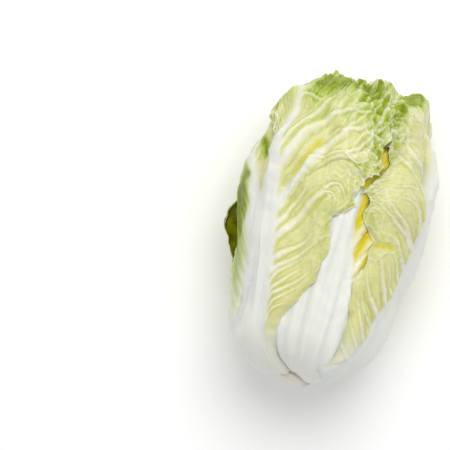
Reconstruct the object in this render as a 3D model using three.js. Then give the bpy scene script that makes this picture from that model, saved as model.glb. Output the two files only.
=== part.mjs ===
// A head of napa cabbage lying on its side, in millimetres, +Z up. The stem is at -Y and the leaf tips
// are at +Y. Every leaf is a solid of its own, laid over the ones inside it.
//
// The head is described round a spine, a straight line inside it. A place on the head is an angle `round`
// about the spine (0 is straight up, positive towards +X) and a length `up` along a meridian, from the
// stem pole over the bottom, along the flank and over the top to the tip pole. `reach` is the distance
// from the spine.
import * as THREE from "three";

// Driving dimensions
const HEAD_LENGTH = 278; // bottom of the leaf bases to the leaf tips
const HEAD_WIDTH = 174; // the widest place
const BASE_WIDTH = 150; // where the rounded bottom begins
const BOTTOM_HEIGHT = 62; // length of the rounded bottom along the axis
const FLANK_LENGTH = 108; // from the rounded bottom to the widest place
const STEM_RADIUS = 27;
const STEM_OUT = 7; // how far the cut stem stands out of the leaf bases
const STEM_SHIFT = 8; // the stem sits this far to +X of the head's axis
const LEAN_DEG = 3.8; // the thin end lies lower, so the axis rises towards the tips
const REST_FLAT = 5.6; // the lowest leaf is pressed flat by this much
const LEAF_GAP = 0.7; // room left between one leaf and the next
const BLADE_THICK = 1.1;
const BOTTOM_POWER = 2.3; // how square the bottom's and the top's outlines are: 2 is an ellipse
const TOP_POWER = 2.05;

const RAD = Math.PI / 180;
const TOP_HEIGHT = HEAD_LENGTH - BOTTOM_HEIGHT - FLANK_LENGTH;
const BOTTOM_ARC = 0.5 * Math.PI * 0.5 * (BASE_WIDTH / 2 + BOTTOM_HEIGHT);
const TOP_ARC = 0.5 * Math.PI * 0.5 * (HEAD_WIDTH / 2 + TOP_HEIGHT);
const MERIDIAN = BOTTOM_ARC + FLANK_LENGTH + TOP_ARC;
const FLANK_END = BOTTOM_ARC + FLANK_LENGTH;

const clamp = (x, low, high) => Math.min(high, Math.max(low, x));
const smooth = (from, to, x) => {
  const k = clamp((x - from) / (to - from), 0, 1);
  return k * k * (3 - 2 * k);
};

// A smooth curve through [place, value] pairs, flat beyond its ends.
function through(pairs, x) {
  const n = pairs.length;
  if (x <= pairs[0][0]) return pairs[0][1];
  if (x >= pairs[n - 1][0]) return pairs[n - 1][1];
  const i = pairs.findIndex((p) => p[0] > x) - 1;
  const slope = (k) => {
    const a = pairs[Math.max(0, k - 1)];
    const b = pairs[Math.min(n - 1, k + 1)];
    return (b[1] - a[1]) / (b[0] - a[0]);
  };
  const [x0, y0] = pairs[i];
  const [x1, y1] = pairs[i + 1];
  const w = x1 - x0;
  const k = (x - x0) / w;
  const rise = y1 - y0;
  const bend = k * (1 - k);
  return y0 + rise * k * k * (3 - 2 * k) + bend * w * ((1 - k) * slope(i) - k * slope(i + 1));
}

// The spine point and the tilt of the ray at a length up a meridian: 0 on the flank, -90 and 90 degrees
// at the poles.
function rayAt(up) {
  if (up < BOTTOM_ARC) return { spine: BOTTOM_HEIGHT, tilt: 0.5 * Math.PI * (up / BOTTOM_ARC - 1) };
  if (up <= FLANK_END) return { spine: BOTTOM_HEIGHT + up - BOTTOM_ARC, tilt: 0 };
  return { spine: BOTTOM_HEIGHT + FLANK_LENGTH, tilt: (0.5 * Math.PI * (up - FLANK_END)) / TOP_ARC };
}

// A point of the head, before it is laid down: x to the side, y up the axis, z towards the front.
function straight(round, up, reach) {
  const { spine, tilt } = rayAt(up);
  const out = reach * Math.cos(tilt);
  return [out * Math.sin(round), spine + reach * Math.sin(tilt), out * Math.cos(round)];
}

// The bottom is drawn over to the stem.
const drawnOver = ([x, y, z]) => [x + STEM_SHIFT * Math.pow(clamp(1 - y / BOTTOM_HEIGHT, 0, 1), 2), y, z];
const place = ({ round, up, reach }) => drawnOver(straight(round, up, reach));

// How far the finished head's outside is from the spine: superellipses for the bottom and the top, a
// swelling flank.
function headReach(up) {
  const { tilt } = rayAt(up);
  const oval = (wide, high, power) =>
    Math.pow(
      Math.pow(Math.abs(Math.cos(tilt)) / wide, power) + Math.pow(Math.abs(Math.sin(tilt)) / high, power),
      -1 / power,
    );
  if (up < BOTTOM_ARC) return oval(BASE_WIDTH / 2, BOTTOM_HEIGHT, BOTTOM_POWER);
  if (up > FLANK_END) return oval(HEAD_WIDTH / 2, TOP_HEIGHT, TOP_POWER);
  const swell = Math.sin((0.5 * Math.PI * (up - BOTTOM_ARC)) / FLANK_LENGTH);
  return BASE_WIDTH / 2 + ((HEAD_WIDTH - BASE_WIDTH) / 2) * swell;
}

// A leaf's own coordinates are `side`, an angle across it, and a length `up`. On the flank they are the
// head's own. Over the top the leaf carries on straight ahead, past the tip pole if it is long enough,
// and keeps its width.
function onHead(leaf, side, up) {
  if (up <= FLANK_END) return { round: leaf.round + side, up };
  const ahead = (0.5 * Math.PI * (up - FLANK_END)) / TOP_ARC;
  const round = leaf.round + Math.atan2(Math.sin(side), Math.cos(side) * Math.cos(ahead));
  const tilt = Math.asin(Math.cos(side) * Math.sin(ahead));
  return { round, up: FLANK_END + (tilt * TOP_ARC) / (0.5 * Math.PI) };
}

// ---- The pile ----
// How far the leaves laid so far reach, on a grid of rays round and up the head.
const ROUND_CELLS = 300;
const UP_CELLS = 240;
const CELL_ROUND = (2 * Math.PI) / ROUND_CELLS;
const CELL_UP = MERIDIAN / (UP_CELLS - 1);
const POLE_ZONE = 26;
const wrap = (i) => ((i % ROUND_CELLS) + ROUND_CELLS) % ROUND_CELLS;

function read(pile, round, up) {
  const a = round / CELL_ROUND;
  const b = clamp(up / CELL_UP, 0, UP_CELLS - 1.001);
  const i = Math.floor(a);
  const j = Math.floor(b);
  const at = (p, q) => pile[wrap(p) * UP_CELLS + q];
  const low = at(i, j) * (1 - (a - i)) + at(i + 1, j) * (a - i);
  const high = at(i, j + 1) * (1 - (a - i)) + at(i + 1, j + 1) * (a - i);
  return low * (1 - (b - j)) + high * (b - j);
}

// The four cells of the grid round a place.
function cellsRound({ round, up }) {
  const i = Math.floor(round / CELL_ROUND);
  const j = clamp(Math.floor(up / CELL_UP), 0, UP_CELLS - 2);
  return [i, i + 1].flatMap((p) => [wrap(p) * UP_CELLS + j, wrap(p) * UP_CELLS + j + 1]);
}

// The pile averaged over a window, round or up the head. Near a pole the same length takes more cells.
function averaged(pile, alongRound, length) {
  const made = new Float32Array(pile.length);
  for (let j = 0; j < UP_CELLS; j++) {
    const { tilt } = rayAt(j * CELL_UP);
    const circle = Math.max(12, headReach(j * CELL_UP) * Math.cos(tilt));
    const cells = Math.round(length / (alongRound ? circle * CELL_ROUND : CELL_UP));
    const half = Math.min(cells, ROUND_CELLS / 2 - 1);
    for (let i = 0; i < ROUND_CELLS; i++) {
      let sum = 0;
      for (let k = -half; k <= half; k++) {
        const p = alongRound ? wrap(i + k) : i;
        const q = alongRound ? j : clamp(j + k, 0, UP_CELLS - 1);
        sum += pile[p * UP_CELLS + q];
      }
      made[i * UP_CELLS + j] = sum / (2 * half + 1);
    }
  }
  return made;
}
const softened = (pile, length) => averaged(averaged(pile, true, length), false, length);

// Calls back with each ray of the grid that meets the triangle of three places, and the reach at which it
// does. Next to the tip pole a triangle may lie across the pole, so all the way round is searched there.
function raysThrough(corners, found) {
  const [a, b, c] = corners.map((p) => new THREE.Vector3(...straight(p.round, p.up, p.reach)));
  const margin = 2;
  const range = (key, step) => {
    const values = corners.map((p) => p[key] / step);
    return [Math.floor(Math.min(...values)) - margin, Math.ceil(Math.max(...values)) + margin];
  };
  const atPole = Math.max(...corners.map((p) => p.up)) > MERIDIAN - POLE_ZONE;
  const [i0, i1] = atPole ? [0, ROUND_CELLS - 1] : range("round", CELL_ROUND);
  const [j0, span] = range("up", CELL_UP);
  const j1 = atPole ? UP_CELLS - 1 : span;
  const hit = new THREE.Vector3();
  for (let j = Math.max(0, j0); j <= Math.min(UP_CELLS - 1, j1); j++)
    for (let i = i0; i <= i1; i++) {
      const start = new THREE.Vector3(...straight(0, j * CELL_UP, 0));
      const end = new THREE.Vector3(...straight(i * CELL_ROUND, j * CELL_UP, 1));
      const ray = new THREE.Ray(start, end.sub(start));
      if (ray.intersectTriangle(a, b, c, false, hit)) found(wrap(i) * UP_CELLS + j, hit.distanceTo(start));
    }
}

// ---- Leaves ----
// Along a leaf, t runs from 0 at the stem to 1 at the tip; s runs across it from -1 to 1. Angles are in
// degrees.
const LEAF_SIDE = [[0, 36], [0.12, 40], [0.3, 48], [0.45, 55], [0.6, 60], [0.75, 58], [0.88, 50], [1, 32]];
const MIDRIB_HALF = [[0, 34], [0.2, 31], [0.38, 22], [0.55, 12], [0.75, 7], [1, 3.5]];
const MIDRIB_THICK = [[0, 7], [0.2, 8], [0.45, 5.5], [0.7, 3], [1, 0.8]];
const ROW_RISE = [[0, 0], [0.2, 6], [0.4, 4], [0.6, -12], [0.8, -24], [1, -24]]; // of a row's ends
const FOOT = 32; // where the leaves leave the stem

// Leaves from the outermost to the innermost. Each has its angle round the head, its length up the
// meridian, its two sides as shares of LEAF_SIDE or as outlines of their own, how far its midrib bends,
// and its mesh's fineness.
const LEAVES = [
  {
    name: "leaf_01",
    round: -44,
    tip: 378,
    left: [[0, 36], [0.3, 33], [0.6, 36], [0.8, 42], [1, 16]],
    right: [
      [0, 32], [0.06, 25], [0.12, 20], [0.18, 31], [0.26, 40], [0.34, 46],
      [0.41, 44], [0.46, 55], [0.58, 60], [0.72, 60], [0.86, 52], [1, 26],
    ],
    bend: -34,
    across: 14,
    ribs: 14,
  },
  {
    name: "leaf_02",
    round: 88,
    tip: 362,
    left: [
      [0, 44], [0.1, 64], [0.2, 61], [0.3, 64], [0.4, 61],
      [0.48, 68], [0.56, 66], [0.66, 60], [0.8, 56], [1, 26],
    ],
    right: 1,
    bend: -12,
    across: 14,
    ribs: 13,
  },
  { name: "leaf_03", round: 183, tip: 358, left: 1, right: 1, bend: 8, across: 14, ribs: 12 },
  { name: "leaf_04", round: 11, tip: 344, left: 0.9, right: 1, bend: 0, across: 12, ribs: 11 },
  { name: "leaf_05", round: 139, tip: 350, left: 1, right: 0.95, bend: -8, across: 12, ribs: 11 },
  { name: "leaf_06", round: -97, tip: 354, left: 1, right: 1, bend: 6, across: 12, ribs: 11 },
  { name: "leaf_07", round: 43, tip: 340, left: 0.95, right: 1, bend: -6, across: 10, ribs: 9 },
  { name: "leaf_08", round: 174, tip: 346, left: 1, right: 1, bend: 0, across: 10, ribs: 9 },
  { name: "leaf_09", round: -50, tip: 342, left: 1, right: 0.95, bend: 5, across: 10, ribs: 9 },
  { name: "leaf_10", round: 92, tip: 330, left: 1, right: 1, bend: 0, across: 8, ribs: 6 },
  { name: "leaf_11", round: -134, tip: 334, left: 1, right: 1, bend: 0, across: 8, ribs: 6 },
  { name: "leaf_12", round: 2, tip: 328, left: 1, right: 1, bend: 0, across: 8, ribs: 6 },
  { name: "leaf_13", round: 140, tip: 332, left: 1, right: 1, bend: 0, across: 8, ribs: 6 },
  { name: "leaf_14", round: -82, tip: 330, left: 1, right: 1, bend: 0, across: 8, ribs: 6 },
];

// The leaf's shape at (s, t): its place on the head, how far its blade is pushed out, and how thick it
// is.
function leafAt(leaf, s, t) {
  const outline = s < 0 ? leaf.left : leaf.right;
  const half = typeof outline === "number" ? outline * through(LEAF_SIDE, t) : through(outline, t);
  const bend = leaf.bend * Math.pow(smooth(0.55, 1.15, t), 1.5);
  const outward = Math.abs(s);
  const side = s * half + bend * (1 - outward);
  const up = FOOT + (leaf.tip - FOOT) * t + through(ROW_RISE, t) * Math.pow(outward, 1.5);
  const fromRib = (outward * half) / through(MIDRIB_HALF, t);
  const rib = fromRib < 1 ? Math.pow(1 - Math.pow(fromRib, 4), 1.5) : 0;
  const blade = smooth(0.7, 1.6, fromRib);
  const wave = 0.5 - 0.5 * Math.cos(2 * Math.PI * leaf.ribs * t);
  const edge = smooth(0.75, 1, outward);
  const along = smooth(0.04, 0.2, t) * (1 - 0.5 * smooth(0.75, 1, t));
  const pushed = leaf.wave * blade * wave * (0.7 + 0.5 * edge) * along;
  const thick = BLADE_THICK + rib * through(MIDRIB_THICK, t) * leaf.fleshy;
  return { ...onHead(leaf, side * RAD, up), pushed, thick };
}

// Both faces of a leaf on one grid, split into triangles alike, with the rim closing them. The leaf
// starts from the softened pile, and each corner of its inside is then lifted until no ray finds the pile
// within the gap.
function leafMesh(leaf, pile) {
  const rows = 2 * leaf.ribs;
  const wide = leaf.across + 1;
  const under = softened(pile, leaf.bridge);
  const grid = [];
  for (let j = 0; j <= rows; j++)
    for (let i = 0; i <= leaf.across; i++) {
      const at = leafAt(leaf, (2 * i) / leaf.across - 1, j / rows);
      grid.push({ ...at, reach: read(under, at.round, at.up) + LEAF_GAP });
    }
  const skin = [];
  for (let j = 0; j < rows; j++)
    for (let i = 0; i < leaf.across; i++) {
      const a = j * wide + i;
      skin.push([a, a + 1, a + wide + 1], [a, a + wide + 1, a + wide]);
    }
  const lift = grid.map((at) => {
    const highest = Math.max(...cellsRound(at).map((cell) => pile[cell]));
    return Math.max(0, highest + LEAF_GAP - at.reach);
  });
  for (const face of skin)
    raysThrough(face.map((p) => grid[p]), (cell, reach) => {
      const short = pile[cell] + LEAF_GAP - reach;
      for (const p of face) lift[p] = Math.max(lift[p], short);
    });
  const eased = lift.map((own, p) => {
    const near = [p - 1, p, p + 1, p - wide, p + wide].filter((q) => q >= 0 && q < grid.length);
    return Math.max(own, near.reduce((sum, q) => sum + lift[q], 0) / near.length);
  });
  const inside = grid.map((at, p) => ({ ...at, reach: at.reach + eased[p] + at.pushed }));
  const outside = inside.map((at) => ({ ...at, reach: at.reach + at.thick }));
  for (const face of skin)
    raysThrough(face.map((p) => outside[p]), (cell, reach) => {
      pile[cell] = Math.max(pile[cell], reach);
    });
  for (const at of outside) for (const cell of cellsRound(at)) pile[cell] = Math.max(pile[cell], at.reach);
  const back = grid.length;
  const faces = skin.flatMap(([a, b, c]) => [[a, b, c], [a + back, c + back, b + back]]);
  const rim = (a, b) => faces.push([b, a, a + back], [b, a + back, b + back]);
  for (let i = 0; i < leaf.across; i++) {
    rim(i, i + 1);
    rim(rows * wide + i + 1, rows * wide + i);
  }
  for (let j = 0; j < rows; j++) {
    rim((j + 1) * wide, j * wide);
    rim(j * wide + leaf.across, (j + 1) * wide + leaf.across);
  }
  return { points: [...outside, ...inside], faces };
}

// ---- The heart ----
// The packed young leaves in the middle, grown together at their bases, as one body.
const HEART_ROUND = 30;
const HEART_UP = 22;
const HEART_TIPS = 5;

function heartRelief(round, up) {
  const onTop = smooth(FLANK_END - 20, FLANK_END + 30, up);
  const turn = (round / (2 * Math.PI)) * HEART_TIPS + (up - FLANK_END) / 90;
  const lip = turn - Math.floor(turn);
  return onTop * 7 * lip * smooth(MERIDIAN + 4, MERIDIAN - 40, up);
}

function heartMesh(reachAt) {
  const points = [{ round: 0, up: 0, reach: reachAt(0) }];
  for (let j = 1; j < HEART_UP; j++)
    for (let i = 0; i < HEART_ROUND; i++) {
      const round = (2 * Math.PI * i) / HEART_ROUND;
      const up = (MERIDIAN * j) / HEART_UP;
      points.push({ round, up, reach: reachAt(up) + heartRelief(round, up) });
    }
  points.push({ round: 0, up: MERIDIAN, reach: reachAt(MERIDIAN) });
  const last = points.length - 1;
  const topRow = HEART_UP - 1;
  const at = (i, j) => 1 + (j - 1) * HEART_ROUND + (i % HEART_ROUND);
  const faces = [];
  for (let i = 0; i < HEART_ROUND; i++) {
    faces.push([0, at(i + 1, 1), at(i, 1)], [last, at(i, topRow), at(i + 1, topRow)]);
    for (let j = 1; j < HEART_UP - 1; j++)
      faces.push([at(i, j), at(i + 1, j), at(i + 1, j + 1)], [at(i, j), at(i + 1, j + 1), at(i, j + 1)]);
  }
  return { points, faces };
}

// ---- Laying the leaves ----
// The heart is sized so that the finished pile meets the head's outside: each pass measures how thick the
// leaves lie at each height, and the next starts from a heart that much smaller.
const OUTER_LEAVES = 9;
const FIRST_THICKNESS = 28;
const PASSES = 3;

function layLeaves(thickness) {
  const reachAt = (up) => headReach(up) - read(thickness, 0, up);
  const pile = new Float32Array(ROUND_CELLS * UP_CELLS);
  for (let i = 0; i < ROUND_CELLS; i++)
    for (let j = 0; j < UP_CELLS; j++)
      pile[i * UP_CELLS + j] = reachAt(j * CELL_UP) + heartRelief(i * CELL_ROUND, j * CELL_UP);
  const heart = heartMesh(reachAt);
  for (const face of heart.faces)
    raysThrough(face.map((p) => heart.points[p]), (cell, reach) => {
      pile[cell] = Math.max(pile[cell], reach);
    });
  const bare = Float32Array.from(pile);
  const meshes = new Map();
  for (let k = LEAVES.length - 1; k >= 0; k--) {
    const outer = k < OUTER_LEAVES;
    const leaf = { ...LEAVES[k], round: LEAVES[k].round * RAD };
    leaf.wave = outer ? 3 : 1.2;
    leaf.fleshy = outer ? 1 : 0.7;
    leaf.bridge = outer ? 8 : 12;
    meshes.set(leaf.name, leafMesh(leaf, pile));
  }
  return { meshes, heart, reachAt, lain: pile.map((reach, cell) => reach - bare[cell]) };
}

// The mean thickness of the leaves at each height. Past the leaves' two ends it stays what it is at their
// ends.
const LOWEST_LEAF = FOOT + 8;
const HIGHEST_LEAF = MERIDIAN - 30;

function evenedRound(pile) {
  const made = new Float32Array(pile.length);
  for (let j = 0; j < UP_CELLS; j++) {
    const row = Math.round(clamp(j * CELL_UP, LOWEST_LEAF, HIGHEST_LEAF) / CELL_UP);
    let sum = 0;
    for (let i = 0; i < ROUND_CELLS; i++) sum += pile[i * UP_CELLS + row];
    for (let i = 0; i < ROUND_CELLS; i++) made[i * UP_CELLS + j] = sum / ROUND_CELLS;
  }
  return averaged(made, false, 14);
}

let thickness = new Float32Array(ROUND_CELLS * UP_CELLS).fill(FIRST_THICKNESS);
for (let pass = 1; pass < PASSES; pass++) thickness = evenedRound(layLeaves(thickness).lain);
const laid = layLeaves(thickness);

// ---- The stem ----
// A short column that tapers inwards between the leaf bases, cut off by two slanted knife strokes.
const STEM_SIDES = 24;
const STEM_GAP = 1.5;

// The stem's radius at a height, inside the cone of rays on which the leaves start.
function stemRadius(y) {
  const cone = (BOTTOM_HEIGHT - y) / Math.tan(-rayAt(FOOT).tilt) - STEM_GAP;
  return Math.min(STEM_RADIUS, cone);
}

function stemMesh() {
  const top = BOTTOM_HEIGHT - laid.reachAt(0) - 0.8;
  const rings = [
    { y: 0, radius: STEM_RADIUS - 4, cut: true },
    { y: 0, radius: STEM_RADIUS, cut: true },
    { y: 4, radius: stemRadius(4), cut: false },
    { y: top, radius: stemRadius(top), cut: false },
  ];
  const points = [];
  for (const ring of rings)
    for (let i = 0; i < STEM_SIDES; i++) {
      const a = (2 * Math.PI * i) / STEM_SIDES;
      const x = ring.radius * Math.sin(a);
      const z = ring.radius * Math.cos(a);
      const cut = -STEM_OUT + Math.abs(x - 7) * 0.22 + 0.05 * z;
      points.push(drawnOver([x, ring.cut ? Math.min(cut, 1) : ring.y, z]));
    }
  const first = points.push(drawnOver([7, -STEM_OUT, 0])) - 1;
  const last = points.push(drawnOver([0, top, 0])) - 1;
  const faces = [];
  for (let i = 0; i < STEM_SIDES; i++) {
    const n = (i + 1) % STEM_SIDES;
    faces.push([first, n, i], [last, 3 * STEM_SIDES + i, 3 * STEM_SIDES + n]);
    for (let r = 0; r < rings.length - 1; r++) {
      const a = r * STEM_SIDES;
      const b = a + STEM_SIDES;
      faces.push([a + i, a + n, b + n], [a + i, b + n, b + i]);
    }
  }
  return { points, faces };
}

// ---- Laying the head down and building the meshes ----
const LEAN = LEAN_DEG * RAD;

function layDown([x, y, z]) {
  return [x, y * Math.cos(LEAN) - z * Math.sin(LEAN), y * Math.sin(LEAN) + z * Math.cos(LEAN)];
}

function geometryOf(points, faces) {
  const position = new Float32Array(points.flat());
  const geometry = new THREE.BufferGeometry();
  geometry.setAttribute("position", new THREE.BufferAttribute(position, 3));
  geometry.setIndex(faces.flat());
  geometry.computeVertexNormals();
  return geometry;
}

const OUTER_LEAF = new THREE.MeshStandardMaterial({ color: 0xdfe6ae, roughness: 0.5, metalness: 0 });
const INNER_LEAF = new THREE.MeshStandardMaterial({ color: 0xe9e08a, roughness: 0.5, metalness: 0 });
const HEART = new THREE.MeshStandardMaterial({ color: 0xe8d35c, roughness: 0.5, metalness: 0 });
const STEM = new THREE.MeshStandardMaterial({ color: 0xe9e3cf, roughness: 0.6, metalness: 0 });

const pieces = [];
for (const { name } of LEAVES) {
  const { points, faces } = laid.meshes.get(name);
  const material = name < "leaf_10" ? OUTER_LEAF : INNER_LEAF;
  pieces.push({ name, material, points: points.map((p) => layDown(place(p))), faces });
}
pieces.push({
  name: "heart",
  material: HEART,
  points: laid.heart.points.map((p) => layDown(place(p))),
  faces: laid.heart.faces,
});
const stem = stemMesh();
pieces.push({ name: "stem", material: STEM, points: stem.points.map(layDown), faces: stem.faces });

// The floor takes REST_FLAT off the lowest leaf, and the origin goes under the middle of the head's box.
const everyPoint = pieces.flatMap((piece) => piece.points);
const floor = Math.min(...everyPoint.map((p) => p[2])) + REST_FLAT;
const middle = (axis) => {
  const values = everyPoint.map((p) => p[axis]);
  return (Math.min(...values) + Math.max(...values)) / 2;
};
const origin = [middle(0), middle(1), floor];

const head = new THREE.Group();
for (const { name, material, points, faces } of pieces) {
  const settled = points.map(([x, y, z]) => [x - origin[0], y - origin[1], Math.max(0, z - origin[2])]);
  const mesh = new THREE.Mesh(geometryOf(settled, faces), material);
  mesh.name = name;
  head.add(mesh);
}

export default head;
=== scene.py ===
"""A head of napa cabbage lying on its side: waved leaves laid over one another round a packed heart.

Lengths are in millimetres until a mesh is made, and angles in degrees unless a name says otherwise.
A place on the head is an angle `round` about the spine (0 faces up), a length `up` along a meridian from
the stem pole over the bottom, the flank and the top to the tip pole, and a `reach` away from the spine.
"""

import dataclasses
import functools
import math
import types

import bpy
import numpy as np
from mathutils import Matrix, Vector


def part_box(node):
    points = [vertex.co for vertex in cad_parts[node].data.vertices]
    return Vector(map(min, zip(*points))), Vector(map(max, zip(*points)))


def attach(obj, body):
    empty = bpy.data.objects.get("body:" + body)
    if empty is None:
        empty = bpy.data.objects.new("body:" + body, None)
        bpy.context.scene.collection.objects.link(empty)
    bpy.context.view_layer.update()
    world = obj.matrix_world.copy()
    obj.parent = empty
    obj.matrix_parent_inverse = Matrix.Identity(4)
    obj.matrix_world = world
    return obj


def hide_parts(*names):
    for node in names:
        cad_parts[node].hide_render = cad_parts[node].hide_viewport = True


bl_info = {
    "name": "Napa cabbage",
    "version": (1, 0, 0),
    "blender": (4, 5, 0),
    "location": "3D View > Sidebar > Cabbage",
    "description": "Leaves, heart and stem of a napa cabbage over its packed solids",
    "category": "Add Mesh",
}

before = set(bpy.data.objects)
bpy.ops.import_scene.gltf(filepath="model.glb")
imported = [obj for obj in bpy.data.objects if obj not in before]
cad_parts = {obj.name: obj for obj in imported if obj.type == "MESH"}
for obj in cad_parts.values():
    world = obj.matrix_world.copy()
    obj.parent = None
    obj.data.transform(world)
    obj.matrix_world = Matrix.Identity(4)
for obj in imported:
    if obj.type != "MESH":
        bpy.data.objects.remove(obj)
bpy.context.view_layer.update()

# ---- The head's form, as its solids have it ----
HEAD_LENGTH = 278
HEAD_WIDTH = 174
BASE_WIDTH = 150
BOTTOM_HEIGHT = 62
FLANK_LENGTH = 108
BOTTOM_POWER = 2.3
TOP_POWER = 2.05
STEM_RADIUS = 27
STEM_OUT = 7
STEM_SHIFT = 8
RIDGE = 5
LEAN = math.radians(3.8)
# How far up the leaves leave the stem
FOOT = 32

RAD = math.pi / 180
TOP_HEIGHT = HEAD_LENGTH - BOTTOM_HEIGHT - FLANK_LENGTH
BOTTOM_ARC = 0.25 * math.pi * (BASE_WIDTH / 2 + BOTTOM_HEIGHT)
TOP_ARC = 0.25 * math.pi * (HEAD_WIDTH / 2 + TOP_HEIGHT)
FLANK_END = BOTTOM_ARC + FLANK_LENGTH
MERIDIAN = FLANK_END + TOP_ARC
MEAN_REACH = 88

# The stem's box gives where the head's own origin, the foot of its axis, lies in the frame.
STEM_LOW, STEM_HIGH = (np.array(corner, float) * 1000 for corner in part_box("stem"))
STEM_MIDDLE = (STEM_LOW + STEM_HIGH) / 2
STEM_BELOW_FOOT = 7.4
HEAD_FOOT = np.array([STEM_MIDDLE[0] - STEM_SHIFT, STEM_LOW[1] + STEM_BELOW_FOOT, STEM_MIDDLE[2]])


def smooth(low, high, x):
    """0 below low, 1 above high, and an S curve of the third power between."""
    k = np.clip((x - low) / (high - low), 0, 1)
    return k * k * (3 - 2 * k)


def bell(x):
    """A bell curve: 1 at 0, about a third at 1 and next to nothing from 2 on."""
    return np.exp(-(x ** 2))


def heap(across, along):
    """A round heap: a bell curve in both directions."""
    return np.exp(-(across ** 2) - along ** 2)


def through(pairs, x):
    """A smooth curve through (place, value) pairs: cubic pieces whose slope at a pair is that of the line
    between its two neighbours. It is flat beyond its ends."""
    xs, ys = np.array(pairs, float).T
    steps = np.gradient(ys, xs) if len(xs) > 2 else np.full(2, (ys[1] - ys[0]) / (xs[1] - xs[0]))
    x = np.clip(x, xs[0], xs[-1])
    i = np.clip(np.searchsorted(xs, x, side="right") - 1, 0, len(xs) - 2)
    wide = xs[i + 1] - xs[i]
    k = (x - xs[i]) / wide
    rise = ys[i + 1] - ys[i]
    bend = k * (1 - k) * ((1 - k) * (steps[i] * wide - rise) - k * (steps[i + 1] * wide - rise))
    return ys[i] + rise * k + bend


def in_mm(side):
    """Degrees to the side as mm, on a head of the mean reach."""
    return side * RAD * MEAN_REACH


def tilt_of(up):
    """A ray's tilt in radians: it grows evenly from -90 degrees at the stem pole to 0 at the flank, stays 0
    along it, and grows evenly to 90 degrees at the tips."""
    low = 0.5 * math.pi * (up / BOTTOM_ARC - 1)
    high = 0.5 * math.pi * (up - FLANK_END) / TOP_ARC
    return np.where(up < BOTTOM_ARC, low, np.where(up > FLANK_END, high, 0.0))


def superellipse(tilt, width, height, power):
    """The reach of a superellipse at a ray's tilt: the powers of its two parts, each over the ellipse's own,
    add up to 1."""
    across = (np.abs(np.cos(tilt)) * 2 / width) ** power
    upward = (np.abs(np.sin(tilt)) / height) ** power
    return (across + upward) ** (-1 / power)


def head_reach(up):
    """The head's outline: a superellipse for the bottom, a quarter sine for the flank and another
    superellipse for the top."""
    tilt = tilt_of(up)
    bottom = superellipse(tilt, BASE_WIDTH, BOTTOM_HEIGHT, BOTTOM_POWER)
    top = superellipse(tilt, HEAD_WIDTH, TOP_HEIGHT, TOP_POWER)
    swell = np.sin(0.5 * math.pi * np.clip((up - BOTTOM_ARC) / FLANK_LENGTH, 0, 1))
    flank = BASE_WIDTH / 2 + (HEAD_WIDTH - BASE_WIDTH) / 2 * swell
    return np.where(up < BOTTOM_ARC, bottom, np.where(up > FLANK_END, top, flank))


def placed(rounds, up, reach):
    """Points of the head in the frame, in metres: each lies out along its ray from the spine, and the whole
    head is then settled."""
    tilt = tilt_of(up)
    spine = BOTTOM_HEIGHT + np.clip(up - BOTTOM_ARC, 0, FLANK_LENGTH)
    out = reach * np.cos(tilt)
    return settled(np.stack([out * np.sin(rounds), spine + reach * np.sin(tilt), out * np.cos(rounds)], -1))


def settled(points):
    """Points of the upright head, x to the side, y up the axis and z to the front, in the frame: the bottom
    is drawn over to the stem by a square law, the head is turned about X by its lean and moved to its foot,
    and nothing goes below the floor."""
    x, y, z = np.moveaxis(points, -1, 0)
    x = x + STEM_SHIFT * np.clip(1 - y / BOTTOM_HEIGHT, 0, 1) ** 2
    level = y * math.cos(LEAN) - z * math.sin(LEAN)
    lain = np.stack([x, level, y * math.sin(LEAN) + z * math.cos(LEAN)], -1) + HEAD_FOOT
    lain[..., 2] = np.maximum(lain[..., 2], 0)
    return lain / 1000


def on_head(leaf_round, side, up):
    """A leaf's own coordinates turned into the head's: on the flank `side` adds to the leaf's angle, and
    over the top the leaf carries on straight ahead past the pole, so that it keeps its width."""
    ahead = 0.5 * math.pi * np.maximum(up - FLANK_END, 0) / TOP_ARC
    rounds = leaf_round + np.arctan2(np.sin(side), np.cos(side) * np.cos(ahead))
    tilt = np.arcsin(np.cos(side) * np.sin(ahead))
    return rounds, np.where(up > FLANK_END, FLANK_END + tilt * TOP_ARC / (0.5 * math.pi), up)


# ---- Patterns ----
LATTICE = 64
# How far the points of the cells keep from the sides of their unit squares
POINT_MARGIN = 0.15


def lattice(seed):
    """A square of even random numbers from 0 to 1, the same for the same seed."""
    return np.random.default_rng(seed).random((LATTICE, LATTICE))


def between_cells(grid, i, j, u, v):
    """The value between four neighbours of a grid that repeats: straight from i to i + 1 by u, and then
    straight from j to j + 1 by v."""
    rows, columns = grid.shape
    here, there = i % rows, (i + 1) % rows
    below, above = j % columns, (j + 1) % columns
    low = grid[here, below] * (1 - u) + grid[there, below] * u
    high = grid[here, above] * (1 - u) + grid[there, above] * u
    return low * (1 - v) + high * v


def noise(x, y, seed):
    """Value noise from -1 to 1: random numbers on whole places, joined by an S curve. A lump is about one
    unit wide."""
    i, j = np.floor(x).astype(int), np.floor(y).astype(int)
    return 2 * between_cells(lattice(seed), i, j, smooth(0, 1, x - i), smooth(0, 1, y - j)) - 1


def lumps(x, y, seed):
    """Three octaves of the noise, each half as large and half as high."""
    return noise(x, y, seed) + 0.5 * noise(2 * x, 2 * y, seed + 1) + 0.25 * noise(4 * x, 4 * y, seed + 2)


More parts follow.
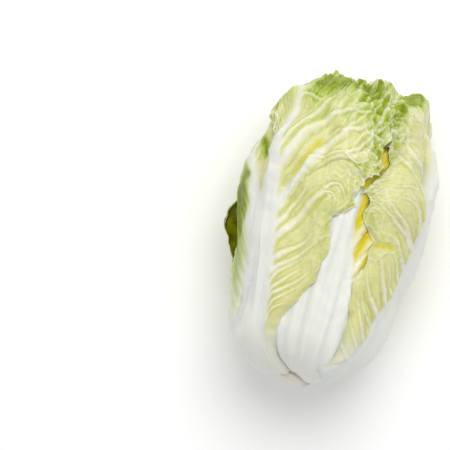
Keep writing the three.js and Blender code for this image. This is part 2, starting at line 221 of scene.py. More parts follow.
def cells(x, y, seed):
    """How far a place is from the border between the nearest two of the points scattered one to each unit
    square: half the difference of the distances to the two. It is 0 on the border and about 0.5 in a cell's
    middle."""
    across, along = lattice(seed), lattice(seed + 1)
    i, j = np.floor(x).astype(int), np.floor(y).astype(int)
    free = 1 - 2 * POINT_MARGIN
    away = []
    for p in (-1, 0, 1):
        for q in (-1, 0, 1):
            square = (i + p) % LATTICE, (j + q) % LATTICE
            point_x = i + p + POINT_MARGIN + free * across[square]
            point_y = j + q + POINT_MARGIN + free * along[square]
            away.append(np.hypot(point_x - x, point_y - y))
    nearest = np.partition(np.stack(away), 1, axis=0)
    return 0.5 * (nearest[1] - nearest[0])


def along_line(x, y, points, steps=6):
    """The distance from each place to a smooth line through the points, in the line's own units, and how
    far along the line its nearest place is, from 0 to 1. The line is cut into short straight steps, and each
    place takes the nearest of them."""
    points = np.array(points, float)
    ends = np.linspace(0, len(points) - 1, steps * (len(points) - 1) + 1)
    numbers = np.arange(len(points))
    line = np.stack([through(list(zip(numbers, points[:, axis])), ends) for axis in (0, 1)], -1)
    best = np.full(x.shape, np.inf)
    share = np.zeros(x.shape)
    for k in range(len(line) - 1):
        (ax, ay), (bx, by) = line[k], line[k + 1]
        dx, dy = bx - ax, by - ay
        f = np.clip(((x - ax) * dx + (y - ay) * dy) / (dx * dx + dy * dy + 1e-9), 0, 1)
        d = np.hypot(x - ax - f * dx, y - ay - f * dy)
        nearer = d < best
        best = np.where(nearer, d, best)
        share = np.where(nearer, (k + f) / (len(line) - 1), share)
    return best, share


# ---- The pile: how far the leaves laid so far reach ----
ROUND_CELLS = 420
UP_CELLS = 370
CELL_ROUND = 2 * math.pi / ROUND_CELLS
CELL_UP = MERIDIAN / (UP_CELLS - 1)
ROWS_UP = np.arange(UP_CELLS) * CELL_UP
# Near the poles a row's circle counts as no smaller than this, and no more than so many cells are covered.
LEAST_CIRCLE = 6.0
MOST_COVERED = 70
ROW_CIRCLE = np.maximum(LEAST_CIRCLE, head_reach(ROWS_UP) * np.cos(tilt_of(ROWS_UP)))


def read(pile, rounds, up):
    """The pile at any place, straight between the four cells round it."""
    a = rounds / CELL_ROUND
    b = np.clip(up / CELL_UP, 0, UP_CELLS - 1.001)
    i, j = np.floor(a).astype(int), np.floor(b).astype(int)
    return between_cells(pile, i, j, a - i, b - j)


def covered(pile, length):
    """A smooth cover over the pile: each cell takes the highest within the length, and that is then
    averaged over the same length, which never brings it below the pile."""
    half_round = np.minimum(np.round(length / (ROW_CIRCLE * CELL_ROUND)), MOST_COVERED).astype(int)
    half_up = int(round(length / CELL_UP))
    high = pile
    for k in range(1, half_round.max() + 1):
        wider = np.maximum(high, np.maximum(np.roll(high, 1, 0), np.roll(high, -1, 0)))
        high = np.where(half_round >= k, wider, high)
    for _ in range(half_up):
        padded = np.pad(high, ((0, 0), (1, 1)), mode="edge")
        high = np.maximum(high, np.maximum(padded[:, :-2], padded[:, 2:]))
    return averaged_up(averaged_round(high, half_round), half_up)


def averaged_round(pile, half):
    """Each row averaged over its own number of cells to both sides, from running sums round the head."""
    tiled = np.concatenate([pile, pile, pile])
    sums = np.concatenate([np.zeros((1, UP_CELLS)), np.cumsum(tiled, axis=0)])
    i = np.arange(ROUND_CELLS)[:, None] + ROUND_CELLS
    j = np.arange(UP_CELLS)[None, :]
    return (sums[i + half + 1, j] - sums[i - half, j]) / (2 * half + 1)


def averaged_up(pile, half):
    """Each column averaged over the same number of cells to both sides, from running sums up it."""
    padded = np.pad(pile, ((0, 0), (half, half)), mode="edge")
    sums = np.concatenate([np.zeros((len(pile), 1)), np.cumsum(padded, axis=1)], axis=1)
    return (sums[:, 2 * half + 1:] - sums[:, :-2 * half - 1]) / (2 * half + 1)


def raised(pile, rounds, up, reach):
    """The pile with a sheet's places added: each cell keeps the highest that falls on it."""
    i = np.round(rounds / CELL_ROUND).astype(int) % ROUND_CELLS
    j = np.clip(np.round(up / CELL_UP), 0, UP_CELLS - 1).astype(int)
    pile = pile.copy()
    np.maximum.at(pile, (i.ravel(), j.ravel()), reach.ravel())
    return pile


# ---- Leaves ----
# Along a leaf t runs from 0 at the stem to 1 at the tip. Outlines and petioles are half-widths in degrees.
LEAF_SIDE = [(0, 36), (0.12, 40), (0.3, 48), (0.45, 55), (0.6, 60), (0.75, 58), (0.88, 50), (1, 32)]
MIDRIB_HALF = [(0, 34), (0.2, 31), (0.38, 22), (0.55, 12), (0.75, 7), (1, 3.5)]
MIDRIB_THICK = [(0, 7), (0.2, 8), (0.45, 5.5), (0.7, 3), (1, 0.8)]
PETIOLE = [(0, 60), (0.1, 34), (0.2, 26), (0.3, 19), (0.42, 12), (0.6, 6.5), (0.8, 3.5), (1, 1.5)]
# How much further up than its midrib a leaf's edge is, in mm
ROW_RISE = [(0, 0), (0.2, 6), (0.4, 4), (0.6, -12), (0.8, -24), (1, -24)]

# Lines given on a leaf are (side in degrees, up in mm) points. Edges, midlines and the two sides of a
# petiole are (up, side).
FRONT_LEFT_EDGE = [
    (32, 36), (60, 28), (75, 22), (90, 14), (106, 10), (124, 9), (143, 8), (161, 8), (180, 10),
    (199, 10.5), (217, 9), (228, 7.5), (238, 7), (247, 10), (252, 14), (264, 18), (274, 22), (286, 29),
    (300, 36), (320, 44), (340, 44), (354, 38),
]
FRONT_RIGHT_EDGE = [
    (32, 34), (54, 24), (68, 23), (81, 24.5), (87, 25.5), (93, 25), (99, 26.5), (112, 31), (121, 35),
    (132, 39), (140, 42), (156, 43), (166, 45), (178, 46), (188, 44.5), (200, 43), (206, 44), (210, 49),
    (217, 53), (235, 52.5), (255, 52.5), (265, 53), (276, 53.5), (286, 56), (292, 54), (300, 53),
    (310, 50), (320, 46), (330, 43), (340, 39), (347, 32), (354, 25),
]
FRONT_MIDLINE = [
    (32, 0), (75, 3), (120, 5), (160, 3), (200, 0), (230, -2), (255, -4), (280, -9), (300, -12),
    (320, -16), (340, -21), (360, -28), (378, -34),
]
FRONT_PETIOLE = (
    [(32, -60), (60, -34), (90, -24), (200, -22), (232, -20), (244, -13), (255, -11), (280, -12.5),
     (300, -14), (320, -17.5), (340, -22.5), (360, -29.5), (378, -35)],
    [(32, 21), (50, 17), (66, 16), (90, 16), (137, 14), (155, 13), (173, 11), (191, 10), (209, 8),
     (227, 7), (244, 4), (264, 0), (282, -5), (298, -9.5), (320, -14.5), (340, -20), (360, -27),
     (378, -33)],
)
RIGHT_LEFT_EDGE = [
    (32, 40), (45, 52), (58, 66), (68, 72), (78, 67), (90, 63), (105, 62), (118, 62), (127, 65),
    (140, 65), (149, 66), (158, 62), (170, 60), (182, 60), (188, 58), (196, 62), (206, 69), (218, 71),
    (230, 69), (245, 68), (262, 69), (274, 70), (281, 74), (287, 69), (292, 62), (297, 52), (302, 48),
    (312, 44), (325, 41), (338, 33),
]
RIGHT_PETIOLE = (
    [(32, -80), (68, -72), (77, -64), (84, -53), (94, -46), (104, -41), (119, -40), (128, -38),
     (135, -34), (142, -29), (156, -25), (170, -22.5), (190, -18), (215, -14), (240, -11), (255, -9),
     (270, -6), (285, -4), (300, -2), (325, -1), (362, 0)],
    [(32, 80), (60, 52), (100, 34), (150, 18), (200, 8), (240, 1), (270, -2), (300, -1), (362, 1)],
)
# The leaf in the middle, whose petiole shows between the front leaf and the right-hand one
MIDDLE_PETIOLE = (
    [(32, -60), (90, -40), (160, -30), (220, -20), (260, -10), (344, -3)],
    [(32, 60), (90, 30), (120, 20), (140, 12), (155, 9), (170, 6.5), (185, 4), (200, 1.5), (207, 0.5),
     (214, 1.5), (227, 2), (236, 1), (244, -4), (252, -12), (344, -16)],
)
# The left-hand outer leaf, whose midrib shows at the left beside the front leaf
LEFT_MIDLINE = [
    (32, 0), (100, 30), (150, 36), (182, 38), (200, 32), (210, 28), (218, 26), (228, 22), (237, 17),
    (244, 8), (262, 2), (300, -2), (354, -5),
]
LEFT_PETIOLE = (
    [(32, -50), (60, -24), (90, -4), (115, 12), (140, 22), (160, 27), (182, 29), (200, 28), (209, 26),
     (217, 23.5), (227, 19), (235, 13.5), (242, 4), (262, 0), (300, -4), (354, -6)],
    [(32, 60), (150, 60), (196, 46), (206, 38), (220, 30.5), (229, 25.5), (237, 19.5), (244, 11),
     (262, 4), (300, 0), (354, -4)],
)
# The leaf below, whose right margin stands out past the head's left side
BELOW_RIGHT_EDGE = [
    (32, 44), (80, 60), (110, 70), (130, 77), (150, 81), (170, 82), (187, 78), (200, 68), (240, 60),
    (300, 54), (354, 32),
]

# Veins, each with its half-width in mm at its start and at its end
FRONT_VEINS = [
    ([(-14, 306), (-12, 311), (-7, 313), (0, 313), (3, 316), (3, 324), (2, 331)], 1.2, 0.7),
    ([(2, 246), (5, 269), (5, 281), (7, 292), (8, 302), (9, 319), (9, 331), (13, 335)], 1.1, 0.8),
    ([(1, 222), (3, 231), (5, 237), (8, 247), (9, 258), (10, 269), (11, 281), (12, 291), (14, 299),
      (16, 306), (14, 316), (13, 331), (16, 340)], 3.2, 1.1),
    ([(14, 301), (18, 309), (22, 317), (24, 321)], 1.3, 0.8),
    ([(5, 188), (9, 199), (11, 211), (14, 223), (18, 239), (21, 254), (23, 270), (25, 282), (27, 290),
      (27, 300), (25, 306), (23, 316), (22, 326), (22, 335), (23, 346)], 3.6, 0.9),
    ([(26, 294), (28, 300), (31, 306), (32, 315), (32, 328)], 1.6, 0.8),
    ([(23, 316), (25, 320), (27, 328), (27, 337)], 1.1, 0.7),
    ([(9, 178), (11, 185), (14, 192), (16, 201), (19, 210), (22, 220), (23, 229)], 2.2, 1.0),
    ([(8, 160), (11, 169), (15, 178), (19, 186), (24, 198), (27, 209), (31, 220), (34, 229), (35, 238)],
      2.8, 1.6),
    ([(34, 232), (37, 240), (41, 242), (45, 235), (47, 226)], 1.3, 0.7),
    ([(33, 226), (38, 229), (41, 224), (42, 214)], 1.0, 0.6),
    ([(10, 146), (14, 153), (18, 159), (22, 164), (26, 168), (30, 175), (33, 184)], 2.2, 0.9),
    ([(11, 136), (15, 143), (19, 149), (23, 153), (28, 160), (33, 169), (38, 178)], 2.0, 0.9),
    ([(12, 128), (15, 133), (18, 141), (22, 147), (27, 154), (31, 159)], 1.8, 0.8),
    ([(12, 116), (15, 121), (18, 128), (22, 134), (26, 141), (32, 150)], 1.8, 0.8),
    ([(13, 109), (15, 114), (18, 121), (22, 126), (27, 132), (33, 140), (38, 150)], 1.7, 0.8),
    ([(13, 98), (16, 104), (19, 113), (24, 121), (31, 130)], 1.6, 0.7),
    ([(14, 90), (16, 96), (19, 105), (23, 111), (28, 116)], 1.4, 0.7),
    ([(-6, 172), (-9, 190), (-14, 210), (-20, 230), (-24, 245), (-26, 260)], 3.0, 1.4),
    ([(-12, 226), (-17, 245), (-21, 262), (-23, 280), (-26, 296), (-28, 312)], 2.4, 1.0),
    ([(-7, 150), (-14, 172), (-22, 196), (-27, 216), (-31, 232)], 2.0, 0.9),
    ([(-8, 125), (-16, 148), (-23, 168), (-28, 186)], 1.8, 0.8),
    ([(35, 276), (37, 275), (41, 274), (44, 278), (46, 289), (44, 299)], 1.1, 0.8),
    ([(35, 276), (38, 289), (38, 304), (37, 318)], 1.1, 0.8),
    ([(18, 255), (25, 262), (31, 272), (35, 277)], 0.9, 0.8),
]
RIGHT_VEINS = [
    ([(-3, 200), (-7, 222), (-11, 240), (-15, 255), (-19, 267), (-24, 277), (-29, 286), (-31, 295),
      (-31, 303), (-28, 310), (-25, 316), (-24, 326), (-22, 334)], 2.6, 1.1),
    ([(0, 290), (5, 303), (8, 314), (7, 326)], 1.6, 0.9),
    ([(-7, 196), (-13, 218), (-19, 237), (-25, 252), (-31, 266), (-35, 278), (-37, 288), (-39, 300),
      (-39, 311), (-40, 319)], 2.2, 0.8),
    ([(-28, 309), (-31, 313), (-34, 320)], 1.2, 0.7),
    ([(-9, 175), (-20, 187), (-28, 195), (-34, 203), (-40, 210), (-47, 218), (-52, 227), (-56, 240),
      (-59, 256)], 2.4, 0.9),
    ([(-24, 168), (-33, 178), (-38, 187), (-44, 196), (-52, 202)], 2.2, 0.9),
    ([(-30, 193), (-37, 203), (-45, 209), (-52, 215), (-57, 225), (-61, 236)], 1.6, 0.8),
    ([(-4, 176), (-10, 184), (-17, 194), (-23, 205), (-29, 217), (-35, 232), (-40, 248), (-44, 258)], 3.0,
      1.0),
    ([(-34, 134), (-39, 141), (-43, 150), (-47, 159), (-50, 168), (-54, 182)], 2.0, 1.0),
    ([(-36, 120), (-43, 128), (-48, 135), (-53, 144), (-57, 154), (-59, 163)], 1.9, 0.8),
    ([(-20, 148), (-27, 157), (-34, 166), (-39, 175), (-45, 185)], 2.2, 0.9),
    ([(-40, 96), (-46, 102), (-52, 111), (-56, 122), (-60, 136)], 1.7, 0.8),
    ([(-44, 90), (-50, 95), (-56, 103), (-60, 112)], 1.4, 0.7),
    ([(-50, 83), (-56, 87), (-61, 94), (-63, 101)], 1.3, 0.7),
    ([(-36, 108), (-43, 114), (-49, 121), (-55, 132), (-59, 144)], 1.2, 0.7),
    ([(-28, 142), (-37, 151), (-42, 162), (-47, 175)], 1.3, 0.8),
    ([(-34, 256), (-42, 262), (-50, 266), (-57, 276)], 1.0, 0.7),
    ([(-30, 228), (-38, 238), (-46, 247), (-54, 252)], 1.1, 0.7),
]
MIDDLE_VEINS = [
    ([(1, 150), (2, 166), (3.5, 178), (6, 190), (9, 201), (12, 212)], 5.0, 2.6),
    ([(5, 138), (8, 152), (10, 163), (12.5, 174), (15.5, 184), (20, 195)], 4.0, 2.2),
    ([(7, 126), (10, 140), (12.5, 150), (15, 160), (20, 170)], 3.2, 1.6),
    ([(9, 112), (13, 126), (17, 137), (24, 152)], 2.6, 1.4),
]
LEFT_VEINS = [
    ([(36, 190), (37, 205), (38, 218), (38, 230)], 1.6, 0.8),
    ([(30, 214), (32, 226), (32, 238), (30, 248)], 1.4, 0.8),
    ([(22, 228), (20, 240), (16, 250), (10, 262)], 1.4, 0.8),
]
# Folds: a line, the half-width of its valley in mm, its depth in mm and how golden its floor is; the golden
# is partly the inner tissue's yellow and partly painted shade in the fold
FRONT_FOLDS = [
    ([(7, 193), (9, 201), (10, 209), (12, 220), (14, 234), (16, 246), (17.5, 260), (18, 274), (18, 283)],
      1.9, 3.0, 0.85),
    ([(18, 282), (20, 293), (23, 298), (24.5, 304), (25, 312)], 1.3, 1.6, 0.25),
    ([(13, 191), (15, 202), (18, 210), (20, 217), (20, 225)], 1.5, 1.8, 0.6),
    ([(22, 188), (27, 199), (31, 208), (34, 217), (36, 226)], 1.6, 1.8, 0.35),
    ([(6, 256), (7, 268), (8, 281), (9, 291), (10.5, 300), (10, 311)], 2.0, 1.2, 0.0),
    ([(-11, 222), (-14, 240), (-17, 255)], 1.7, 2.2, 0.0),
]
RIGHT_FOLDS = [
    ([(-20, 259), (-29, 267), (-34, 273), (-38, 282), (-40, 291), (-41, 298)], 1.3, 2.6, 0.9),
    ([(-62, 175), (-60, 182), (-58, 187), (-53, 189), (-48, 190), (-42, 187)], 2.4, 3.6, 0.9),
    ([(-30, 169), (-33, 177), (-36, 184), (-39, 192), (-43, 200), (-49, 206)], 1.2, 1.4, 0.3),
    ([(-17, 205), (-21, 213), (-24, 221), (-29, 233), (-34, 246)], 1.1, 1.3, 0.45),
    ([(-40, 112), (-43, 119), (-49, 130), (-54, 137), (-59, 147)], 1.1, 1.2, 0.3),
    ([(-36, 137), (-37, 145), (-38, 153), (-38, 161)], 1.2, 1.3, 0.3),
    ([(-50, 138), (-53, 149)], 1.0, 1.0, 0.3),
    ([(-44, 102), (-48, 114), (-51, 126)], 1.1, 1.0, 0.25),
    ([(-39, 129), (-41, 137), (-46, 149)], 1.0, 0.9, 0.1),
]
MIDDLE_FOLDS = [
    ([(6, 178), (8.5, 185), (11, 191), (14.5, 199), (18, 206)], 1.2, 1.0, 0.8),
    ([(9, 166), (11.5, 172), (14.5, 178), (17.5, 183), (22, 190)], 1.4, 1.2, 1.0),
    ([(9, 150), (12, 157), (15.5, 163), (19, 168), (24, 175)], 2.4, 1.8, 1.0),
    ([(6.5, 206), (8, 216), (9, 226), (11, 238), (13, 250)], 3.2, 0.6, 1.0),
]
LEFT_FOLDS = [
    ([(9, 226), (12, 214), (15, 204), (17, 195), (17, 184), (16, 174)], 2.4, 1.6, 0.0),
    ([(14, 262), (19, 255), (23, 249), (25, 240)], 1.6, 2.0, 0.0),
]
# Laps: where one lobe of the blade lies over another, and by how many mm. The side of the line with the
# higher `up` stands out.
FRONT_LAPS = [
    ([(23, 240), (25, 248), (28, 256), (32, 265), (36, 271), (41, 273), (47, 270), (54, 263)], 2.2),
]
# Swells and greens: where they are centred, how far they spread in degrees and in mm, and how high in mm or
# how strong they are
FRONT_SWELLS = [
    ((-18, 352), (16, 18), -2.5), ((22, 356), (12, 12), -3.0), ((20, 90), (9, 12), -2.0),
    ((4, 360), (10, 9), 8.0), ((-20, 318), (8, 14), 6.0),
]
RIGHT_SWELLS = [
    ((12, 322), (13, 15), 12.5), ((6, 348), (16, 12), -7.0), ((-3, 262), (20, 34), -4.5),
    ((-6, 150), (16, 40), -3.0), ((8, 299), (14, 10), 5.0),
]
MIDDLE_SWELLS = [((0, 105), (36, 36), 6.0), ((6, 240), (8, 40), 2.0)]
LEFT_SWELLS = [((4, 206), (24, 34), 6.0), ((0, 150), (16, 20), -2.0), ((22, 219), (3, 5), -1.5)]
BELOW_SWELLS = [((84, 170), (14, 20), 12.0), ((84, 145), (10, 14), 5.0), ((-2, 344), (12, 11), 7.0)]
FRONT_GREENS = [
    ((-3, 333), (16, 14), 1.4), ((-12, 352), (18, 12), 1.5), ((12, 340), (12, 12), 0.35),
    ((12, 356), (14, 10), 0.7), ((28, 336), (10, 12), 0.2), ((-4, 302), (14, 16), 0.25),
    ((34, 312), (8, 12), 0.15), ((2, 316), (12, 5), 0.25), ((42, 190), (6, 26), 0.2),
    ((24, 84), (6, 8), 0.4), ((48, 272), (7, 7), 0.35), ((-24, 306), (8, 26), 0.2),
    # these two, on the left of the petiole, are partly painted shade and painted green reflection
    ((-12, 110), (4, 30), 0.5), ((-9, 152), (3, 22), 0.35),
]
RIGHT_GREENS = [
    ((13, 330), (9, 8), 1.3), ((8, 330), (12, 8), 1.5), ((-8, 272), (10, 20), 0.2),
    ((-20, 334), (14, 8), 0.9), ((-4, 336), (12, 8), 0.9), ((-65, 212), (7, 12), 0.3),
    ((-28, 322), (8, 10), 0.25), ((-62, 100), (6, 10), 0.3),
]
# this leaf's greens, down the head's left side, are partly its own olive and partly painted shade and painted
# green reflection
LEFT_GREENS = [
    ((14, 222), (6, 8), 0.9), ((20, 208), (6, 14), 1.2), ((22, 192), (7, 14), 1.0),
    ((10, 196), (9, 14), 1.2), ((12, 178), (13, 14), 1.1), ((17, 160), (14, 14), 1.1),
    ((23, 142), (14, 14), 0.9), ((29, 124), (14, 14), 0.7), ((35, 104), (14, 14), 0.5),
    ((16, 259), (6, 7), 1.3), ((24, 252), (5, 7), 1.3), ((21, 219), (3, 4), 0.8),
    ((34, 166), (9, 14), 0.3), ((38, 146), (9, 14), 0.3),
]
# the dark green of this leaf's margin, which stands out at the head's left side, is partly painted shade
BELOW_GREENS = [((80, 160), (20, 60), 1.9)]


@dataclasses.dataclass
class Leaf:
    """One leaf: where it grows, how far it reaches, its edges and midrib, and what lies on its blade."""

    # where it grows round the head, in degrees, and how far up its tip is
    name: str
    angle: float
    tip: float
    # its half-width to each side: a share of LEAF_SIDE, or an edge of its own
    left: float | list = 1.0
    right: float | list = 1.0
    # how far the midrib turns aside towards the tip, in degrees, the grid's steps across and along, and how
    # far up the leaf begins
    bend: float = 0.0
    grid: tuple = (60, 90)
    foot: float = FOOT
    # lines of its own for the midrib and for the petiole's two sides
    midline: list = None
    petiole: tuple = None
    # veins that are listed, the sides on which more are made by rule, how far up those begin and how they
    # climb
    veins: tuple = ()
    ruled: tuple = (-1, 1)
    lowest: float = 70
    climb: tuple = (-0.1, 0.0075)
    # what else is listed
    folds: tuple = ()
    laps: tuple = ()
    swells: tuple = ()
    greens: tuple = ()
    # how green, yellow and golden it is, its deepest green, and how far its own greens, partly painted shade
    # and painted reflection, cover the petiole
    green: float = 0.5
    yellow: float = 0.0
    golden: float = 0.0
    deepest: float = 1.0
    green_and_shade_on_ribs: float = 0.0
    # how thick the midrib is, how high its flutes are in mm, and how softly its white ends
    fleshy: float = 1.0
    flutes: float = 0.35
    soft: float = 1.0
    # how far the left and the right edge curl
    curl: tuple = (1.0, 1.0)

    @property
    def seed(self):
        """The number that the leaf's own noises and draws start from."""
        return int(self.name[-2:]) * 10

    def along(self, t):
        """How far up the midrib is at t."""
        return self.foot + (self.tip - self.foot) * t

    def half_to(self, edge, t):
        """The half-width to one edge in degrees, read from the leaf's own line or from the common one."""
        if isinstance(edge, list):
            return through(edge, self.along(t) + through(ROW_RISE, t))
        return edge * through(LEAF_SIDE, t)

    def half(self, t):
        """The leaf's half-widths to the left and to the right, in degrees."""
        return self.half_to(self.left, t), self.half_to(self.right, t)

    def middle(self, t):
        """The midrib's side in degrees: its own line, or a bend that grows towards the tip."""
        if self.midline:
            return through(self.midline, self.along(t))
        return self.bend * smooth(0.55, 1.15, t) ** 1.5

    def vein_start(self, off, up):
        """How far up the midrib the side vein through a place begins. A vein that begins at y climbs by
        (first + second y) mm for each mm off the midrib."""
        first, second = self.climb
        return (up - first * off) / (1 + second * off)

    def outside_petiole(self, side, up, t):
        """How far a place lies outside the white midrib, in mm, and below 0 inside it."""
        if self.petiole:
            low, high = (through(edge, up) for edge in self.petiole)
        else:
            low, high = self.middle(t) - through(PETIOLE, t), self.middle(t) + through(PETIOLE, t)
        return in_mm(np.maximum(side - high, low - side))


# The leaves next to the heart are thinner and all yellow.
YOUNG = {"green": 0, "yellow": 1, "fleshy": 0.7}
# From the outermost to the innermost
LEAVES = [
    Leaf("leaf_01", -44, 378, FRONT_LEFT_EDGE, FRONT_RIGHT_EDGE, grid=(180, 360), midline=FRONT_MIDLINE,
         petiole=FRONT_PETIOLE, veins=FRONT_VEINS, ruled=(), climb=(-1.85, 0.0219), folds=FRONT_FOLDS,
         laps=FRONT_LAPS, swells=FRONT_SWELLS, greens=FRONT_GREENS, green=0.75, yellow=0.5, deepest=1.6,
         green_and_shade_on_ribs=0.6, curl=(0.5, 1.0)),
    Leaf("leaf_02", 88, 362, RIGHT_LEFT_EDGE, bend=-12, grid=(170, 340), foot=35, petiole=RIGHT_PETIOLE,
         veins=RIGHT_VEINS, ruled=(1,), folds=RIGHT_FOLDS, swells=RIGHT_SWELLS, greens=RIGHT_GREENS,
         green=0.45, yellow=0.5, deepest=1.5, fleshy=0.6, soft=2.2, curl=(0.35, 1.0)),
    Leaf("leaf_03", 183, 358, right=BELOW_RIGHT_EDGE, bend=8, grid=(130, 260), swells=BELOW_SWELLS,
         greens=BELOW_GREENS, green=0.35, yellow=0.3, deepest=2.0),
    Leaf("leaf_04", 11, 344, left=0.9, grid=(130, 260), foot=37, petiole=MIDDLE_PETIOLE,
         veins=MIDDLE_VEINS, ruled=(-1,), folds=MIDDLE_FOLDS, swells=MIDDLE_SWELLS, green=0.0, yellow=0.6,
         golden=1.0, flutes=1.8),
    Leaf("leaf_05", 139, 350, right=0.95, bend=-8, grid=(120, 230), green=0.6),
    Leaf("leaf_06", -97, 354, grid=(130, 250), midline=LEFT_MIDLINE, petiole=LEFT_PETIOLE, veins=LEFT_VEINS,
         ruled=(-1,), lowest=110, folds=LEFT_FOLDS, swells=LEFT_SWELLS, greens=LEFT_GREENS, green=0.7,
         yellow=0.3, deepest=1.6, green_and_shade_on_ribs=1.0, fleshy=0.6, soft=3.0, curl=(0.5, 0.4)),
    Leaf("leaf_07", 43, 340, left=0.95, bend=-6, grid=(110, 210), green=0.0, yellow=0.7, golden=0.9),
    Leaf("leaf_08", 174, 346, grid=(70, 130), green=0.1, yellow=0.8),
    Leaf("leaf_09", -50, 342, right=0.95, bend=5, grid=(90, 170), green=0.05, yellow=0.9),
    Leaf("leaf_10", 92, 330, grid=(50, 90), **YOUNG),
    Leaf("leaf_11", -134, 334, grid=(50, 90), **YOUNG),
    Leaf("leaf_12", 2, 328, grid=(80, 150), golden=0.8, **YOUNG),
    Leaf("leaf_13", 140, 332, grid=(50, 90), **YOUNG),
    Leaf("leaf_14", -82, 330, grid=(50, 90), **YOUNG),
]
BLADE_THICK = 1.1
RIM_THICK = 0.5
# How far the rim is drawn in towards what lies under it, and the least that a leaf stands off it
RIM_SINK = 0.8
LEAST_PUSH = 0.05
# Veins by rule stop this far short of the tip, on a leaf with a petiole of its own and on the others.
VEINLESS_OWN = 80
VEINLESS = 36
VEIN_SHARES = (0, 0.3, 0.6, 0.85, 1)
# The net's cells in mm across and along, how many times finer the cells inside them are, and the
# half-widths of their borders as shares of a cell
NET_ACROSS = 11
NET_ALONG = 8.5
NET_FINER = 3
NET_BORDER = 0.065
FINE_BORDER = 0.12
# Keeps the nets of a leaf's two sides apart
SIDES_APART = 500
# The width in mm of a wave, a curl, a ruffle and a grain of the blade, and in degrees of a petiole's flute
WAVE = (34, 40)
CURL_WIDTH = 4.2
RUFFLE_WIDTH = 4.6
GRAIN_WIDTH = 3.4
FLUTE_WIDTH = 9.5


def veins_by_rule(leaf):
    """Side veins where none are listed: on the leaf's ruled sides they leave the petiole every 12 to
    20 mm, give or take a fifth, and climb outwards by the leaf's own law, with a wander of up to 1.5 mm."""
    made = []
    draw = np.random.default_rng(leaf.seed)
    first, second = leaf.climb
    for sign in leaf.ruled:
        start = leaf.lowest + 8 * draw.random()
        while start < leaf.tip - (VEINLESS_OWN if leaf.petiole else VEINLESS):
            t = np.array([(start - leaf.foot) / (leaf.tip - leaf.foot)])
            left, right = leaf.half(np.clip(t + 0.1, 0, 1))
            edge = (left if sign < 0 else right)[0] * 0.93
            foot = 0.8 * through(PETIOLE, t)[0]
            if leaf.petiole:
                foot = sign * through(leaf.petiole[(sign + 1) // 2], np.array([start]))[0] - 2
            points = []
            for share in VEIN_SHARES:
                side = foot + (edge - foot) * share
                wander = share * (3 * draw.random() - 1.5)
                height = start + in_mm(side) * (first + second * start) + wander
                points.append((sign * side + leaf.middle(t)[0] * (1 - share), height))
            made.append((points, 2.5 - 1.2 * abs(t[0] - 0.45), 0.7))
            start += (12 + 8 * t[0]) * (0.8 + 0.4 * draw.random())
    return made


def net(leaf, off, start):
    """The fine net of veinlets, in coordinates of how far off the midrib a place is and how far up its side
    vein starts, so that the net runs with the veins: the borders of warped cells, and inside them of finer
    ones. Gives how close a place is to either border, from 0 to 1, and how deep it lies in either cell."""
    x = off / NET_ACROSS + 0.5 * noise(off / 12, start / 12, leaf.seed + 3)
    y = start / NET_ALONG + 0.5 * noise(off / 12, start / 12, leaf.seed + 4)
    big = cells(x, y, leaf.seed + 5)
    small = cells(NET_FINER * x + 0.6 * noise(off / 4, start / 4, leaf.seed), NET_FINER * y, leaf.seed + 7)
    return bell(big / NET_BORDER), bell(small / FINE_BORDER), smooth(0, 0.3, big), smooth(0, 0.3, small)


def spread(places, side, up):
    """The sum of round heaps, each with its own widths in degrees and in mm."""
    total = np.zeros(side.shape)
    for (at_side, at_up), (wide, high), amount in places:
        total += amount * heap((side - at_side) / wide, (up - at_up) / high)
    return total


def line_in_mm(points):
    """A listed line's points as mm across and mm up."""
    return np.array(points, float) * [RAD * MEAN_REACH, 1]


def leaf_plan(leaf):
    """The leaf before it has relief, on a grid of s from -1 to 1 across and t from 0 to 1 along: `side` in
    degrees and `up` and `x` in mm. A row's ends lie ROW_RISE above its middle, and noise along the edges
    frills them. `beyond` is how far a place lies outside the petiole, past a border that noise makes
    uneven: `white` falls and `blade` rises across it."""
    across, rows = leaf.grid
    s, t = np.meshgrid(np.linspace(-1, 1, across + 1), np.linspace(0, 1, rows + 1))
    left, right = leaf.half(t)
    outward = np.abs(s)
    up = leaf.along(t) + through(ROW_RISE, t) * outward ** 1.5
    frill = 0.8 * noise(up / 6, 0 * up + leaf.seed, leaf.seed + 9)
    frill += 0.3 * noise(up / 2.4, 0 * up, leaf.seed + 8)
    curl = np.where(s < 0, *leaf.curl)
    half = np.where(s < 0, left, right) + frill * curl * smooth(0.12, 0.2, t) * outward ** 4
    middle = leaf.middle(t)
    side = s * half + middle * (1 - outward)
    x = in_mm(side)
    to_edge = in_mm((1 - outward) * half)
    to_rim = np.minimum(to_edge, (1 - t) * (leaf.tip - leaf.foot))
    beyond = leaf.outside_petiole(side, up, t) + 0.8 * noise(x / 4, up / 14, leaf.seed + 2)
    beyond = beyond + 1.6 * noise(x / 9, up / 9, leaf.seed + 15)
    return types.SimpleNamespace(
        t=t, up=up, side=side, middle=middle, x=x, curl=curl, to_edge=to_edge, to_rim=to_rim, beyond=beyond,
        white=smooth(3.2 * leaf.soft, -2.4 * leaf.soft, beyond) * (1 - 0.55 * smooth(0.7, 0.95, t)),
        blade=smooth(-2.0, 8.0, beyond),
    )


def leaf_thickness(leaf, plan):
    """A thin rim, a blade that reaches its thickness 8 mm in, and a midrib whose section is a raised
    cosine."""
    from_rib = np.abs(plan.side - plan.middle) / through(MIDRIB_HALF, plan.t)
    rib = 0.5 + 0.5 * np.cos(np.clip(from_rib / 1.45, 0, 1) * math.pi)
    flesh = rib * through(MIDRIB_THICK, plan.t) * leaf.fleshy * smooth(0, 18, plan.to_edge)
    return RIM_THICK + ((BLADE_THICK - RIM_THICK) * smooth(0, 8, plan.to_rim) + flesh)


